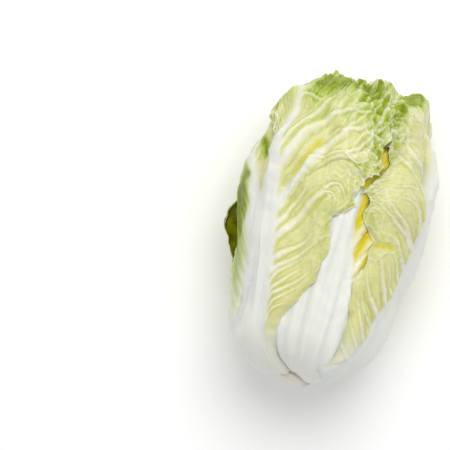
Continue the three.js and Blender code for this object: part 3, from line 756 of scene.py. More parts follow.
def lay_veins(leaf, plan):
    """Adds the side veins to the plan: bell curves across each line for the pale `vein`, for the white
    `stalk` at its start, for the `ridge` by which it stands out and for the `groove` that runs along
    it: a shallow furrow, into which the colours paint shade as green."""
    x, y = plan.x, plan.up
    vein, ridge, stalk, groove = np.zeros((4, *x.shape))
    uneven = 1 + 0.15 * noise(x / 5, y / 5, leaf.seed + 8)
    for points, start, end in [*leaf.veins, *veins_by_rule(leaf)]:
        away, share = along_line(x, y, line_in_mm(points))
        wide = (start + (end - start) * share) * uneven
        fade = smooth(1.15, 0.75, share)
        strong = 0.95 - 0.45 * share
        vein = np.maximum(vein, bell(away / (1.1 * wide)) * strong * (0.35 + 0.65 * fade))
        stalk = np.maximum(stalk, bell(away / wide) * smooth(0.6, 0.1, share) * smooth(1.2, 2.2, start))
        ridge = np.maximum(ridge, bell(away / (1.6 * wide)) * wide / 3 * fade)
        # a furrow beside each vein, whose green in the colours is painted shade
        beside = bell((away - 2.2 * wide) / 1.2)
        groove = np.maximum(groove, beside * fade * smooth(0, 0.1, share) * strong)
    plan.vein, plan.ridge, plan.stalk, plan.groove = vein, ridge, stalk, groove


def lay_folds(leaf, plan):
    """Adds the folds and the laps to the plan. A fold is a valley with a bell curve for its section, and
    `golden` at its floor, which is partly the inner tissue's yellow and partly painted shade; what is not
    golden of a fold's floor counts as a furrow. A lap is a step that fades over 15 mm on its higher side,
    with a furrow at its foot. The colours paint shade as green into these furrows."""
    x, y, groove = plan.x, plan.up, plan.groove
    fold, golden, lap = np.zeros((3, *x.shape))
    for points, wide, depth, tint in leaf.folds:
        away, share = along_line(x, y, line_in_mm(points))
        taper = smooth(0, 0.15, share) * smooth(1, 0.85, share)
        fold = np.maximum(fold, depth * bell(away / wide) * taper)
        golden = np.maximum(golden, tint * bell(away / (0.9 * wide)) * taper)
        groove = np.maximum(groove, (1 - tint) * bell(away / wide) * taper)
    for points, step in leaf.laps:
        line = line_in_mm(points)
        away, share = along_line(x, y, line)
        over = smooth(-0.7, 0.7, y - np.interp(x, line[:, 0], line[:, 1]))
        ends = smooth(0, 0.12, share) * smooth(1, 0.85, share)
        lap = np.maximum(lap, step * over * np.exp(-away / 15) * ends)
        groove = np.maximum(groove, 0.8 * bell((away - 0.6) / 1.2) * (1 - over) * ends)
    plan.fold, plan.golden, plan.lap, plan.groove = fold, golden, lap, groove


def lay_texture(leaf, plan):
    """Adds what relief and colours share to the plan: the net and how much of it shows, streaks between the
    veins, grit, and the crumpled rim, the ruffles and the curls, which grow towards the tip."""
    x, y, t = plan.x, plan.up, plan.t
    off = in_mm(np.abs(plan.side - plan.middle))
    sided = off + np.where(plan.side > plan.middle, 0, SIDES_APART)
    start = leaf.vein_start(off, y)
    plan.large, plan.small, plan.deep, plan.pit = net(leaf, sided, start)
    plan.rim = smooth(34, 6, plan.to_rim)
    shown = np.clip(0.3 + 0.5 * plan.rim + 0.5 * smooth(0.7, 0.92, t), 0, 1)
    plan.netted = plan.blade * smooth(0.2, 0.5, t) * shown
    plan.streaks = noise(start / 2.4, sided / 22, leaf.seed + 13) * plan.blade * smooth(0.75, 0.5, t)
    plan.grit = lumps(x / GRAIN_WIDTH, y / GRAIN_WIDTH, leaf.seed + 14)
    plan.top = smooth(0.62, 0.9, t)
    plan.curly = smooth(0.6, 0.9, t)
    near_rim = smooth(12 + 24 * plan.curly, 1, plan.to_rim)
    plan.crumple = near_rim * smooth(0.14, 0.3, t) * (0.35 + 1.15 * plan.curly) * plan.curl
    plan.curls = smooth(0.84, 0.93, t) * plan.blade
    plan.curling = lumps(x / CURL_WIDTH, y / CURL_WIDTH, leaf.seed + 16)
    plan.ruffle = lumps(x / RUFFLE_WIDTH, y / RUFFLE_WIDTH, leaf.seed + 6)
    plan.lying = 1 - (1 - smooth(0, 12, plan.to_rim)) * smooth(0.8, 0.45, t)


def relief(leaf, plan, settings):
    """How far the leaf stands off what lies under it, in mm: broad waves, veins, the net's puckers,
    streaks, grit, grooves, laps, ruffles, curls and the petiole's flutes and fibres, less its folds, plus
    its swells. It fades out at the foot, and the rim sinks in."""
    x, y, t, blade = plan.x, plan.up, plan.t, plan.blade
    broad = 0.9 * lumps(x / WAVE[0], y / WAVE[1], leaf.seed + 1)
    push = blade * (1.4 + broad) * plan.lying + settings.vein_height * plan.ridge * (0.35 + 0.65 * blade)
    puckers = 0.8 * plan.large + 0.4 * plan.small - 0.7 * plan.deep - 0.35 * plan.pit + 0.6
    push += settings.pucker_height * plan.netted * puckers
    push += 0.28 * plan.streaks + 0.15 * blade * plan.grit * (0.5 + plan.top * (0.4 + 0.8 * plan.rim))
    uneven = 0.5 * blade * lumps(x / 7, y / 9, leaf.seed + 4) * smooth(0.1, 0.3, t)
    push += uneven - 0.7 * plan.groove * blade + plan.lap
    ruffles = 0.8 - 0.5 * plan.curly + plan.ruffle * (1 + 0.4 * plan.curly)
    push += plan.crumple * settings.edge_ripple * ruffles
    push += plan.curls * settings.curl_height * (0.2 + plan.curling)
    width = FLUTE_WIDTH + 2.5 * noise(y / 70, 0 * y, leaf.seed)
    turn = 2 * math.pi * (plan.side - plan.middle) / width + 0.8 * noise(x / 9, y / 60, leaf.seed + 1)
    fluted = 0.8 + 0.8 * np.cos(turn) * smooth(1.0, 0.35, t)
    push += leaf.flutes * plan.white * fluted * smooth(0.02, 0.15, t)
    push += 0.12 * plan.white * noise(x / 1.6, y / 40, leaf.seed + 4)
    push = np.maximum(push - plan.fold + spread(leaf.swells, plan.side, y), LEAST_PUSH)
    push = push * smooth(0, 0.05, t + 0.02)
    return push - RIM_SINK * (1 - smooth(0, 7, plan.to_rim)) * smooth(0.85, 0.65, t)


def colour_shares(leaf, plan, side, up):
    """How much of each colour a place takes. Green gathers at the rim, at the top and where the leaf's own
    greens are, some of which are painted shade. In the furrows it is painted shade, and where it follows the
    relief, more in the net's hollows and less on what stands out, it is partly the blade's own green and
    partly painted shade. The veins and the petiole pale it, except where greens that are partly painted shade
    lie over them. A pale line along the rim is a painted highlight, and the whole foot is white."""
    x, y, t, blade = plan.x, plan.up, plan.t, plan.blade
    patches = noise(x / 16, y / 20, leaf.seed)
    green_rim = smooth(20, 0, plan.to_rim + 5 * noise(x / 9, y / 9, leaf.seed + 3)) * smooth(0.3, 0.6, t)
    green_top = smooth(0.72, 1.0, t + 0.05 * noise(x / 12, y / 12, leaf.seed + 5))
    # more green in the net's hollows and less on raised streaks and grit: partly the blade's own green
    # between its veinlets, partly painted shade
    hollow = 0.55 + 0.4 * plan.deep * plan.netted + 0.25 * plan.pit * plan.netted - 0.25 * plan.streaks
    hollow = hollow - 0.3 * plan.grit * plan.top
    tint = spread(leaf.greens, side, up)
    green = leaf.green * (0.12 + 0.6 * green_rim + 0.9 * green_top) * hollow * (1 + 0.35 * patches)
    # green in the furrows beside the veins, in folds and at the foot of laps is painted shade
    spots = (0.4 * leaf.green + 0.15) * plan.groove + tint * (0.6 + 0.6 * hollow)
    # less green on raised ruffles and curls and more in their hollows: painted shade
    green += spots - 0.2 * plan.ruffle * plan.crumple
    green -= 0.5 * plan.curls * plan.curling
    green = np.clip(green * np.maximum(blade, np.clip(2 * tint, 0, 1) * leaf.green_and_shade_on_ribs), 0, leaf.deepest)
    green *= 1 - 0.25 * plan.netted * (1 - plan.deep * (0.65 + 0.35 * plan.pit))

    # where the greens lie over the veins and the petiole: partly the leaf's own olive, partly painted shade
    # and painted green reflection down the head's left side
    green_and_shade_on_ribs = np.clip(0.95 * tint, 0, 0.8) * leaf.green_and_shade_on_ribs
    vein = plan.vein * (1 - 1.6 * green_and_shade_on_ribs ** 2)
    lit = plan.netted * (0.9 * plan.large + 0.1 * plan.small) * (0.25 + 0.75 * smooth(0.5, 0.78, t))
    netlike = 0.9 * np.clip(lit, 0, 1) * np.clip(1.1 - 0.75 * green, 0, 1)
    # a pale line along the rim: a painted highlight where the thin edge catches the light
    margin = 0.55 * bell(plan.to_rim / 1.4) * smooth(0.3, 0.5, t)
    white = np.maximum(plan.white, 0.9 * plan.stalk) * (1 - green_and_shade_on_ribs)
    white = np.maximum(white, 0.8 * smooth(122, 66, up + 14 * patches))
    young = 0.5 + 0.5 * smooth(0.62, 0.2, t)
    yellow = leaf.yellow * young * (0.75 + 0.35 * noise(x / 18, y / 22, leaf.seed + 2))
    # golden: the inner leaves' own colour off the petiole, and at a fold's floor partly painted shade
    golden = np.maximum(plan.golden, leaf.golden * smooth(0.3, 2.5, plan.beyond)) * (1 - vein)
    return {
        "rib": np.clip(white, 0, 1),
        "vein": np.clip(np.maximum(vein * (1 - 0.4 * green), netlike) + margin, 0, 1),
        "green": green,
        "yellow": np.clip(yellow * blade, 0, 1),
        "golden": np.clip(golden, 0, 1),
    }


def sheet(leaf, settings):
    """The leaf's sheet on its grid: where each place is on the head, how far it is pushed off what lies
    under it and how freely it bridges that, how thick it is, and its colours' shares. Near the rim noise
    moves places within the leaf's own surface too, which crumples the edge."""
    plan = leaf_plan(leaf)
    lay_veins(leaf, plan)
    lay_folds(leaf, plan)
    lay_texture(leaf, plan)
    x, y = plan.x, plan.up
    side = plan.side + plan.crumple * 0.9 * noise(x / 4.5, y / 4.5, leaf.seed + 11)
    up = y + plan.crumple * 1.4 * noise(x / 4.5 + 9, y / 4.5, leaf.seed + 12)
    rounds, head_up = on_head(leaf.angle * RAD, side * RAD, up)
    return {
        "round": rounds, "up": head_up, "push": relief(leaf, plan, settings), "lying": plan.lying,
        "thick": leaf_thickness(leaf, plan), "uv": np.stack([x / 100, y / 100], -1),
        **colour_shares(leaf, plan, side, up),
    }


# ---- The heart and the layers round it ----
HEART_TIPS = 5
HEART_STEP = 7
# Dents in the heart: where they are (round in degrees, up), how far they spread in degrees and in mm, and
# how deep they are. One with a depth below 0 is a bulge.
HEART_DENTS = [
    ((132, 342), (42, 20), 9.0), ((-98, 340), (30, 14), 9.0), ((20, 336), (24, 16), 5.0),
    ((80, 262), (24, 24), 8.5), ((84, 116), (36, 24), -6.0), ((-78, 304), (14, 14), -3.0),
]
# A leaf bridges hollows up to about the first length, and where it lies close, near its rim, the second.
DRAPE = 4.0
CLOSE_DRAPE = 1.0
LEAF_GAP = 0.2
# The pile's thickness is guessed for the first pass. It is then measured between these heights and averaged
# over so many cells to both sides.
FIRST_THICKNESS = 28.0
PASSES = 3
MEASURED = (FOOT + 8, MERIDIAN - 30)
MEASURED_HALF = 14


def heart_relief(rounds, up):
    """Young leaf tips wound over one another: a saw tooth that runs round the top in a spiral. Round heaps
    turned down dent it where the head's surface falls away."""
    on_top = smooth(FLANK_END - 20, FLANK_END + 30, up)
    turn = rounds / (2 * math.pi) * HEART_TIPS + (up - FLANK_END) / 90
    relieved = on_top * HEART_STEP * (turn - np.floor(turn)) * smooth(MERIDIAN + 4, MERIDIAN - 40, up)
    for (at_round, at_up), (wide, high), depth in HEART_DENTS:
        around = (rounds / RAD - at_round + 180) % 360 - 180
        relieved = relieved - depth * heap(around / wide, (up - at_up) / high)
    return relieved


@functools.lru_cache(maxsize=1)
def layers():
    """Every leaf's sheet and the heart's reach. Each leaf, from the innermost out, lies on a smooth cover
    over the pile below it. The heart is sized so that the finished pile meets the head's outline: each pass
    measures how thick the leaves lie at each height, and the next starts from a heart that much smaller."""
    settings = bpy.context.scene.cabbage_leaves
    sheets = {leaf.name: sheet(leaf, settings) for leaf in LEAVES}
    thickness = np.full(UP_CELLS, FIRST_THICKNESS)
    rounds = np.arange(ROUND_CELLS)[:, None] * CELL_ROUND
    for _ in range(PASSES):
        heart = head_reach(ROWS_UP) - thickness
        bare = heart[None, :] + heart_relief(rounds, ROWS_UP[None, :])
        pile = bare
        for leaf in reversed(LEAVES):
            one = sheets[leaf.name]
            bridged = read(covered(pile, DRAPE), one["round"], one["up"])
            close = read(covered(pile, CLOSE_DRAPE), one["round"], one["up"])
            one["inside"] = close + (bridged - close) * one["lying"] + LEAF_GAP + one["push"]
            one["outside"] = one["inside"] + one["thick"]
            pile = raised(pile, one["round"], one["up"], one["outside"])
        lain = (pile - bare).mean(axis=0)
        measured = np.interp(np.clip(ROWS_UP, *MEASURED), ROWS_UP, lain)
        thickness = averaged_up(measured[None, :], MEASURED_HALF)[0]
    return sheets, heart


# ---- Meshes ----
SHARES = ("rib", "vein", "green", "yellow", "golden")


def mesh_object(name, points, faces, uv=None, shares=None):
    """A smooth-shaded mesh object at the origin from a list of points and an array of three or four sided
    faces."""
    mesh = bpy.data.meshes.new(name)
    corners = faces.shape[1]
    mesh.vertices.add(len(points))
    mesh.vertices.foreach_set("co", points.astype(np.float32).ravel())
    mesh.loops.add(faces.size)
    mesh.loops.foreach_set("vertex_index", faces.astype(np.int32).ravel())
    mesh.polygons.add(len(faces))
    mesh.polygons.foreach_set("loop_start", np.arange(0, faces.size, corners, dtype=np.int32))
    mesh.polygons.foreach_set("use_smooth", np.ones(len(faces), dtype=bool))
    if uv is not None:
        layer = mesh.uv_layers.new(name="UVMap")
        layer.uv.foreach_set("vector", uv[faces.ravel()].astype(np.float32).ravel())
    for key, values in (shares or {}).items():
        layer = mesh.attributes.new(key, "FLOAT", "POINT")
        layer.data.foreach_set("value", values.astype(np.float32).ravel())
    mesh.update(calc_edges=True)
    mesh.validate()
    obj = bpy.data.objects.new(name, mesh)
    bpy.context.scene.collection.objects.link(obj)
    return obj


def grid_faces(rows, columns):
    """Four-sided faces of a grid of points stored row after row, each wound columns first."""
    a = (np.arange(rows - 1)[:, None] * columns + np.arange(columns - 1)[None, :]).ravel()
    return np.stack([a, a + 1, a + columns + 1, a + columns], -1)


def tube_faces(rows, columns):
    """The same for a grid whose last column is joined to its first."""
    grid = np.arange(rows * columns).reshape(rows, columns)
    here, there = grid[:-1], grid[1:]
    return np.stack([here, np.roll(here, -1, 1), np.roll(there, -1, 1), there], -1).reshape(-1, 4)


def halved(quads):
    """Four-sided faces cut into triangles from their first corner to their third."""
    return np.concatenate([quads[:, [0, 1, 2]], quads[:, [0, 2, 3]]])


def rim_of(rows, columns):
    """The places on a grid's rim, once round and back to the first."""
    first = np.arange(columns)
    down = np.arange(rows) * columns
    last = first[1:] + (rows - 1) * columns
    return np.concatenate([first[::-1], down[1:], last, (down + columns - 1)[::-1][1:]])


def shell_faces(rows, columns):
    """Three-sided faces of a closed shell: a fine outer grid, an inner grid with every second point of it,
    and a strip between their rims in which two fine steps meet one coarse step. Both counts are odd."""
    few_rows, few_columns = (rows + 1) // 2, (columns + 1) // 2
    back = rows * columns
    outer = halved(grid_faces(rows, columns))
    inner = halved(grid_faces(few_rows, few_columns)[:, ::-1] + back)
    fine = rim_of(rows, columns)
    coarse = rim_of(few_rows, few_columns) + back
    a, m, b = fine[:-1:2], fine[1::2], fine[2::2]
    c, d = coarse[:-1], coarse[1:]
    strip = [np.stack([a, m, c], -1), np.stack([m, d, c], -1), np.stack([m, b, d], -1)]
    return np.concatenate([outer, inner, *strip])


def on_shell(outside, inside):
    """A shell's values in the order of its points: the outside's on the whole grid, and after them the
    inside's on every second place."""
    few = inside[::2, ::2]
    return np.concatenate([outside.reshape(-1, *outside.shape[2:]), few.reshape(-1, *few.shape[2:])])


def leaf_object(leaf):
    """The leaf's sheet as a closed shell: its outside on the whole grid and its inside on every second
    point."""
    sheets, _ = layers()
    one = sheets[leaf.name]
    outside, inside = (placed(one["round"], one["up"], one[side]) for side in ("outside", "inside"))
    shares = {key: on_shell(one[key], one[key]) for key in SHARES}
    uv = on_shell(one["uv"], one["uv"])
    faces = shell_faces(*one["up"].shape)
    return mesh_object(leaf.name + "_skin", on_shell(outside, inside), faces, uv, shares)


# The heart's grid, and how many mm a radian counts for in its pattern
HEART_COLUMNS = 120
HEART_ROWS = 110
HEART_CIRCLE = 70


def heart_object():
    """The heart as a ball of rays: its reach at each place is the pile's first layer, less the hollows of
    puckers about 12 by 14 mm wide and 0.8 mm deep. At the poles the reach is the mean of their row's."""
    _, reach_at = layers()
    rows = np.linspace(0, MERIDIAN, HEART_ROWS)
    columns = np.linspace(0, 2 * math.pi, HEART_COLUMNS, endpoint=False)
    up, rounds = np.meshgrid(rows, columns, indexing="ij")
    x = rounds * HEART_CIRCLE
    deep = smooth(0, 0.34, cells(x / 12, up / 14, 5))
    reach = np.interp(up, ROWS_UP, reach_at) + heart_relief(rounds, up) - 0.8 * deep
    for pole in (0, -1):
        reach[pole, :] = reach[pole, :].mean()
    points = placed(rounds, up, reach).reshape(-1, 3)
    none = np.zeros(up.shape)
    pale = 0.5 * smooth(0.25, 0.0, deep)
    shares = {"rib": none, "vein": pale, "green": none, "yellow": none + 1, "golden": 0.3 * deep}
    uv = np.stack([x, up], -1).reshape(-1, 2) / 100
    return mesh_object("heart_skin", points, tube_faces(HEART_ROWS, HEART_COLUMNS), uv, shares)


# The stump's points: how many to a ring, how many rings on the cut and how many down its side
STEM_SIDES = 144
CUT_RINGS = 26
SIDE_RINGS = 14
# How far up the stump reaches into the head, and how steep its cut is to both sides of the ridge
STEM_TOP = 22
CUT_SLOPES = (0.27, 0.6)


def stem_object():
    """The stump: rings of points from the middle of the cut out to its rim and up its side. The cut is two
    slanted planes that meet in a ridge, roughened by noise, and the side has shallow scars where leaves
    came off, a sine of the depth that noise bends."""
    ring = np.concatenate([np.linspace(0.02, 1, CUT_RINGS), np.ones(SIDE_RINGS)])
    down = np.concatenate([np.zeros(CUT_RINGS), np.linspace(0.07, 1, SIDE_RINGS)])
    angle = np.linspace(0, 2 * math.pi, STEM_SIDES, endpoint=False)
    k, a = np.meshgrid(ring, angle, indexing="ij")
    depth = np.meshgrid(down, angle, indexing="ij")[0]
    uneven = 1 + 0.03 * noise(3 * np.cos(a) + 7, 3 * np.sin(a) + 7, 3)
    radius = STEM_RADIUS * k * uneven * (1 - 0.4 * depth ** 1.5)
    x, z = radius * np.sin(a), radius * np.cos(a)
    slope = np.maximum(CUT_SLOPES[0] * (RIDGE - x), CUT_SLOPES[1] * (x - RIDGE))
    cut = -STEM_OUT + slope + 0.05 * z + 0.5 * noise(x / 5, z / 5, 11)
    y = cut + depth * (STEM_TOP - cut)
    bent = 3 * noise(4 * np.cos(a) + 9, 4 * np.sin(a) + 9, 4)
    scar = np.sin(8 * depth * math.pi + bent) * np.minimum(1, 6 * depth)
    shrink = 1 - 0.012 * scar
    rings = settled(np.stack([x * shrink, y, z * shrink], -1))
    points = rings.reshape(-1, 3)
    # each end is closed by a fan of triangles round its ring's middle
    first = np.arange(STEM_SIDES)
    last = first + len(points) - STEM_SIDES
    cut_fan = np.stack([np.full(STEM_SIDES, len(points)), first, np.roll(first, -1)], -1)
    top_fan = np.stack([np.full(STEM_SIDES, len(points) + 1), np.roll(last, -1), last], -1)
    faces = halved(tube_faces(len(ring), STEM_SIDES)[:, [0, 3, 2, 1]])
    points = np.concatenate([points, [rings[0].mean(axis=0), rings[-1].mean(axis=0)]])
    dried = 0.3 * bell((k - 0.97) / 0.04) * (depth < 0.1) + 0.25 * np.clip(scar, 0, 1) * (depth > 0)
    brown = np.clip(np.concatenate([dried.ravel(), [0, 0]]), 0, 1)
    faces = np.concatenate([faces, cut_fan, top_fan])
    return mesh_object("stem_flesh", points, faces, None, {"brown": brown})


# ---- Materials ----
def linear(colour):
    """A hex sRGB colour as four linear numbers."""
    parts = [int(colour[i:i + 2], 16) / 255 for i in (1, 3, 5)]
    return [p / 12.92 if p <= 0.04045 else ((p + 0.055) / 1.055) ** 2.4 for p in parts] + [1.0]


def add(tree, kind, settings=None, links=None):
    """Adds a node with its settings and links. A setting whose name is an input's goes on the input."""
    node = tree.nodes.new(kind)
    for key, value in (settings or {}).items():
        if isinstance(key, int) or key in node.inputs:
            node.inputs[key].default_value = value
        else:
            setattr(node, key, value)
    for key, source in (links or {}).items():
        tree.links.new(source, node.inputs[key])
    return node


def new_material(name):
    """A material whose node tree is empty, and the tree."""
    material = bpy.data.materials.new(name)
    material.use_nodes = True
    material.node_tree.nodes.clear()
    return material, material.node_tree


def leaf_material(settings):
    """Fresh leaf tissue under its thin wax: yellow-green blade, white ribs, satin gloss, light that soaks
    in a little."""
    material, tree = new_material("fresh cabbage leaf, waxy")
    share = {}
    for name in SHARES:
        share[name] = add(tree, "ShaderNodeAttribute", {"attribute_name": name}).outputs["Fac"]
    uv = add(tree, "ShaderNodeUVMap", {"uv_map": "UVMap"}).outputs["UV"]
    # fibres run along the petiole, about 1.5 mm apart
    along = add(tree, "ShaderNodeMapping", {"Scale": (65, 4, 1)}, {"Vector": uv}).outputs["Vector"]
    fibres = add(tree, "ShaderNodeTexNoise", {"Scale": 1.0, "Detail": 3.0}, {"Vector": along}).outputs["Fac"]
    # patches about 11 mm wide
    mottled = add(tree, "ShaderNodeTexNoise", {"Scale": 9.0, "Detail": 4.0}, {"Vector": uv}).outputs["Fac"]
    # veinlets round cells about 3 mm wide
    cell = {"feature": "DISTANCE_TO_EDGE", "Scale": 33.0}
    veinlets = add(tree, "ShaderNodeTexVoronoi", cell, {"Vector": uv}).outputs["Distance"]
    near = {"From Min": 0.0, "From Max": 0.12, "To Min": 1.0, "To Max": 0.0}
    lines = add(tree, "ShaderNodeMapRange", near, {"Value": veinlets}).outputs["Result"]
    fading = {"operation": "MULTIPLY_ADD", 1: -0.19, 2: 0.22, "use_clamp": True}
    strength = add(tree, "ShaderNodeMath", fading, {0: share["green"]}).outputs[0]
    thin = add(tree, "ShaderNodeMath", {"operation": "MULTIPLY"}, {0: lines, 1: strength}).outputs[0]
    # what green there is above a whole share is laid on in the dark green, which is partly painted shade
    subtract = {"operation": "SUBTRACT", 1: 1.0}
    deeper = add(tree, "ShaderNodeMath", subtract, {0: share["green"]}).outputs[0]

    # the blade's colours are laid one over another, each by its share, and the ribs over them
    petiole = {"data_type": "RGBA", 6: settings.petiole_shade, 7: settings.petiole}
    rib = add(tree, "ShaderNodeMix", petiole, {0: fibres}).outputs[2]
    patches = {"data_type": "RGBA", 6: settings.blade_dark, 7: settings.blade_light}
    colour = add(tree, "ShaderNodeMix", patches, {0: mottled}).outputs[2]
    layers_of_colour = (
        (share["yellow"], settings.yellow), (share["green"], settings.green), (deeper, settings.dark_green_and_shade),
        (thin, settings.vein), (share["golden"], settings.golden), (share["vein"], settings.vein),
    )
    for factor, over in layers_of_colour:
        laid = {"data_type": "RGBA", 7: over}
        colour = add(tree, "ShaderNodeMix", laid, {0: factor, 6: colour}).outputs[2]
    ribbed = {0: share["rib"], 6: colour, 7: rib}
    colour = add(tree, "ShaderNodeMix", {"data_type": "RGBA"}, ribbed).outputs[2]

    raised_by = {0: share["rib"], 2: thin, 3: fibres}
    height = add(tree, "ShaderNodeMix", {"data_type": "FLOAT"}, raised_by).outputs[0]
    fine = {"Strength": 0.35, "Distance": 0.0004}
    bump = add(tree, "ShaderNodeBump", fine, {"Height": height}).outputs["Normal"]
    shader = add(
        tree, "ShaderNodeBsdfPrincipled",
        {"Roughness": 0.48, "IOR": 1.4, "Subsurface Weight": 0.3, "Subsurface Radius": (0.005, 0.004, 0.0016),
         "Subsurface Scale": 1.0, "Specular IOR Level": 0.4},
        {"Base Color": colour, "Normal": bump},
    )
    add(tree, "ShaderNodeOutputMaterial", None, {"Surface": shader.outputs[0]})
    return material


def stem_material(settings):
    """Cut cabbage stem: cream flesh, matt and a little rough, browning where the knife went through it some
    days ago."""
    material, tree = new_material("cut cabbage stem, drying")
    place = add(tree, "ShaderNodeTexCoord").outputs["Object"]
    # spots about 8 mm wide
    speckled = {"Scale": 120.0, "Detail": 5.0}
    spots = add(tree, "ShaderNodeTexNoise", speckled, {"Vector": place}).outputs["Fac"]
    upper = {"From Min": 0.45, "From Max": 0.8}
    dark = add(tree, "ShaderNodeMapRange", upper, {"Value": spots}).outputs["Result"]
    browned = add(tree, "ShaderNodeAttribute", {"attribute_name": "brown"}).outputs["Fac"]
    flesh = {"data_type": "RGBA", 6: settings.flesh, 7: settings.flesh_shade}
    colour = add(tree, "ShaderNodeMix", flesh, {0: dark}).outputs[2]
    rim = {"data_type": "RGBA", 7: settings.brown}
    colour = add(tree, "ShaderNodeMix", rim, {0: browned, 6: colour}).outputs[2]
    coarse = {"Strength": 0.5, "Distance": 0.0006}
    bump = add(tree, "ShaderNodeBump", coarse, {"Height": spots}).outputs["Normal"]
    shader = add(
        tree, "ShaderNodeBsdfPrincipled",
        {"Roughness": 0.6, "IOR": 1.4, "Subsurface Weight": 0.2, "Subsurface Radius": (0.003, 0.002, 0.001),
         "Subsurface Scale": 1.0},
        {"Base Color": colour, "Normal": bump},
    )
    add(tree, "ShaderNodeOutputMaterial", None, {"Surface": shader.outputs[0]})
    return material


def paper_material(settings):
    """Uncoated paper: an even pale floor without a gleam."""
    material, tree = new_material("pale matt paper")
    dull = {"Base Color": settings.floor, "Roughness": 0.9, "Specular IOR Level": 0.1}
    shader = add(tree, "ShaderNodeBsdfPrincipled", dull)
    add(tree, "ShaderNodeOutputMaterial", None, {"Surface": shader.outputs[0]})
    return material


@functools.lru_cache(maxsize=1)
def shared_leaf_material():
    """One leaf material for every leaf and the heart, because their colours' shares are on their meshes."""
    return leaf_material(bpy.context.scene.cabbage_leaves)


def finish(obj, material, node):
    """Puts the finish on a piece, hangs it from the root body and hides the solid that it stands for."""
    obj.data.materials.append(material)
    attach(obj, "root")
    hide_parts(node)


# ---- Settings ----
def colour_of(name, description, default):
    """A colour property whose default is a hex sRGB colour."""
    return bpy.props.FloatVectorProperty(name=name, description=description, default=linear(default), size=4,
                                         subtype="COLOR", min=0, max=1)


def height_of(name, description, default, most):
    """A height in mm, from 0 to the most that looks right."""
    return bpy.props.FloatProperty(name=name, description=description + ", in mm", default=default, min=0,
                                   max=most)


class LeafSettings(bpy.types.PropertyGroup):
    blade_light: colour_of("Blade, light", "The blade's lighter patches", "#DFDDA8")
    blade_dark: colour_of("Blade, dark", "The blade's darker patches", "#D0D27E")
    green: colour_of("Green", "The green of the edges and tips", "#98AE10")
    # partly the outermost leaves' own deep green, partly painted shade down the head's left side
    dark_green_and_shade: colour_of("Dark green", "The green of the outermost leaves' edges", "#50540A")
    yellow: colour_of("Yellow", "The yellow of young leaves", "#E0D284")
    # golden, where it lies at a fold's floor, is partly painted shade
    golden: colour_of("Golden", "The golden yellow of the inner leaves and deep in a fold", "#D4C404")
    vein: colour_of("Vein", "The small veins", "#EAE9D2")
    petiole: colour_of("Petiole", "The thick white ribs", "#E8E9E2")
    petiole_shade: colour_of("Petiole, shade", "The fibres of the thick ribs", "#DFE0D9")
    vein_height: height_of("Vein height", "How far the side veins stand out", 1.5, 4)
    pucker_height: height_of("Pucker height", "Height of the net's puckers", 0.8, 3)
    curl_height: height_of("Curl height", "Height of the curls at the tips", 3.0, 5)
    edge_ripple: height_of("Edge ripple", "Height of the ripples at the edges", 1.6, 4)


class StemSettings(bpy.types.PropertyGroup):
    flesh: colour_of("Flesh", "The cut stem's flesh", "#F4F0E8")
    flesh_shade: colour_of("Flesh, shade", "Darker spots in the flesh", "#EAE2D6")
    brown: colour_of("Brown", "The dried rim", "#B5977A")


class StageSettings(bpy.types.PropertyGroup):
    floor: colour_of("Floor", "The pale floor", "#FCFCFC")
    key_power: bpy.props.FloatProperty(name="Key light", description="Power of the large soft light",
                                       default=29, min=0, unit="POWER")
    fill: bpy.props.FloatProperty(name="Fill", description="Strength of the even light from all round",
                                  default=0.64, min=0)
    camera_height: bpy.props.FloatProperty(name="Camera height", description="How far it is over the floor",
                                           default=4.0, min=0.5, unit="LENGTH")


# ---- Pieces and the stage ----
class CABBAGE_OT_leaves(bpy.types.Operator):
    """Lays every leaf round the heart, the innermost first"""

    bl_idname = "cabbage.leaves"
    bl_label = "Leaves"

    def execute(self, context):
        for leaf in LEAVES:
            finish(leaf_object(leaf), shared_leaf_material(), leaf.name)
        return {"FINISHED"}


class CABBAGE_OT_heart(bpy.types.Operator):
    """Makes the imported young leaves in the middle"""

    bl_idname = "cabbage.heart"
    bl_label = "Heart"

    def execute(self, context):
        finish(heart_object(), shared_leaf_material(), "heart")
        return {"FINISHED"}


class CABBAGE_OT_stem(bpy.types.Operator):
    """Makes the cut stem"""

    bl_idname = "cabbage.stem"
    bl_label = "Stem"

    def execute(self, context):
        finish(stem_object(), stem_material(context.scene.cabbage_stem), "stem")
        return {"FINISHED"}


# The camera hangs where the head's foot falls on FOOT_PIXEL of a square image, PICTURE pixels wide. It is
# turned by ROLL, and the scale of MM_PER_PIXEL holds at OUTLINE_HEIGHT over the floor.
PICTURE = 450
MM_PER_PIXEL = 0.93
FOOT_PIXEL = (289.6, 375.6)
ROLL = math.radians(15)
OUTLINE_HEIGHT = 0.092
SENSOR = 36
# In metres: half the floor's width, how far it lies below the head, the lamp's diameter and height, and how
# far it is moved up and to the right of the image
FLOOR_HALF = 3.0
FLOOR_DROP = 0.0002
LAMP_SIZE = 1.6
LAMP_HEIGHT = 2.0
LAMP_UP = 0.95
LAMP_RIGHT = 0.2


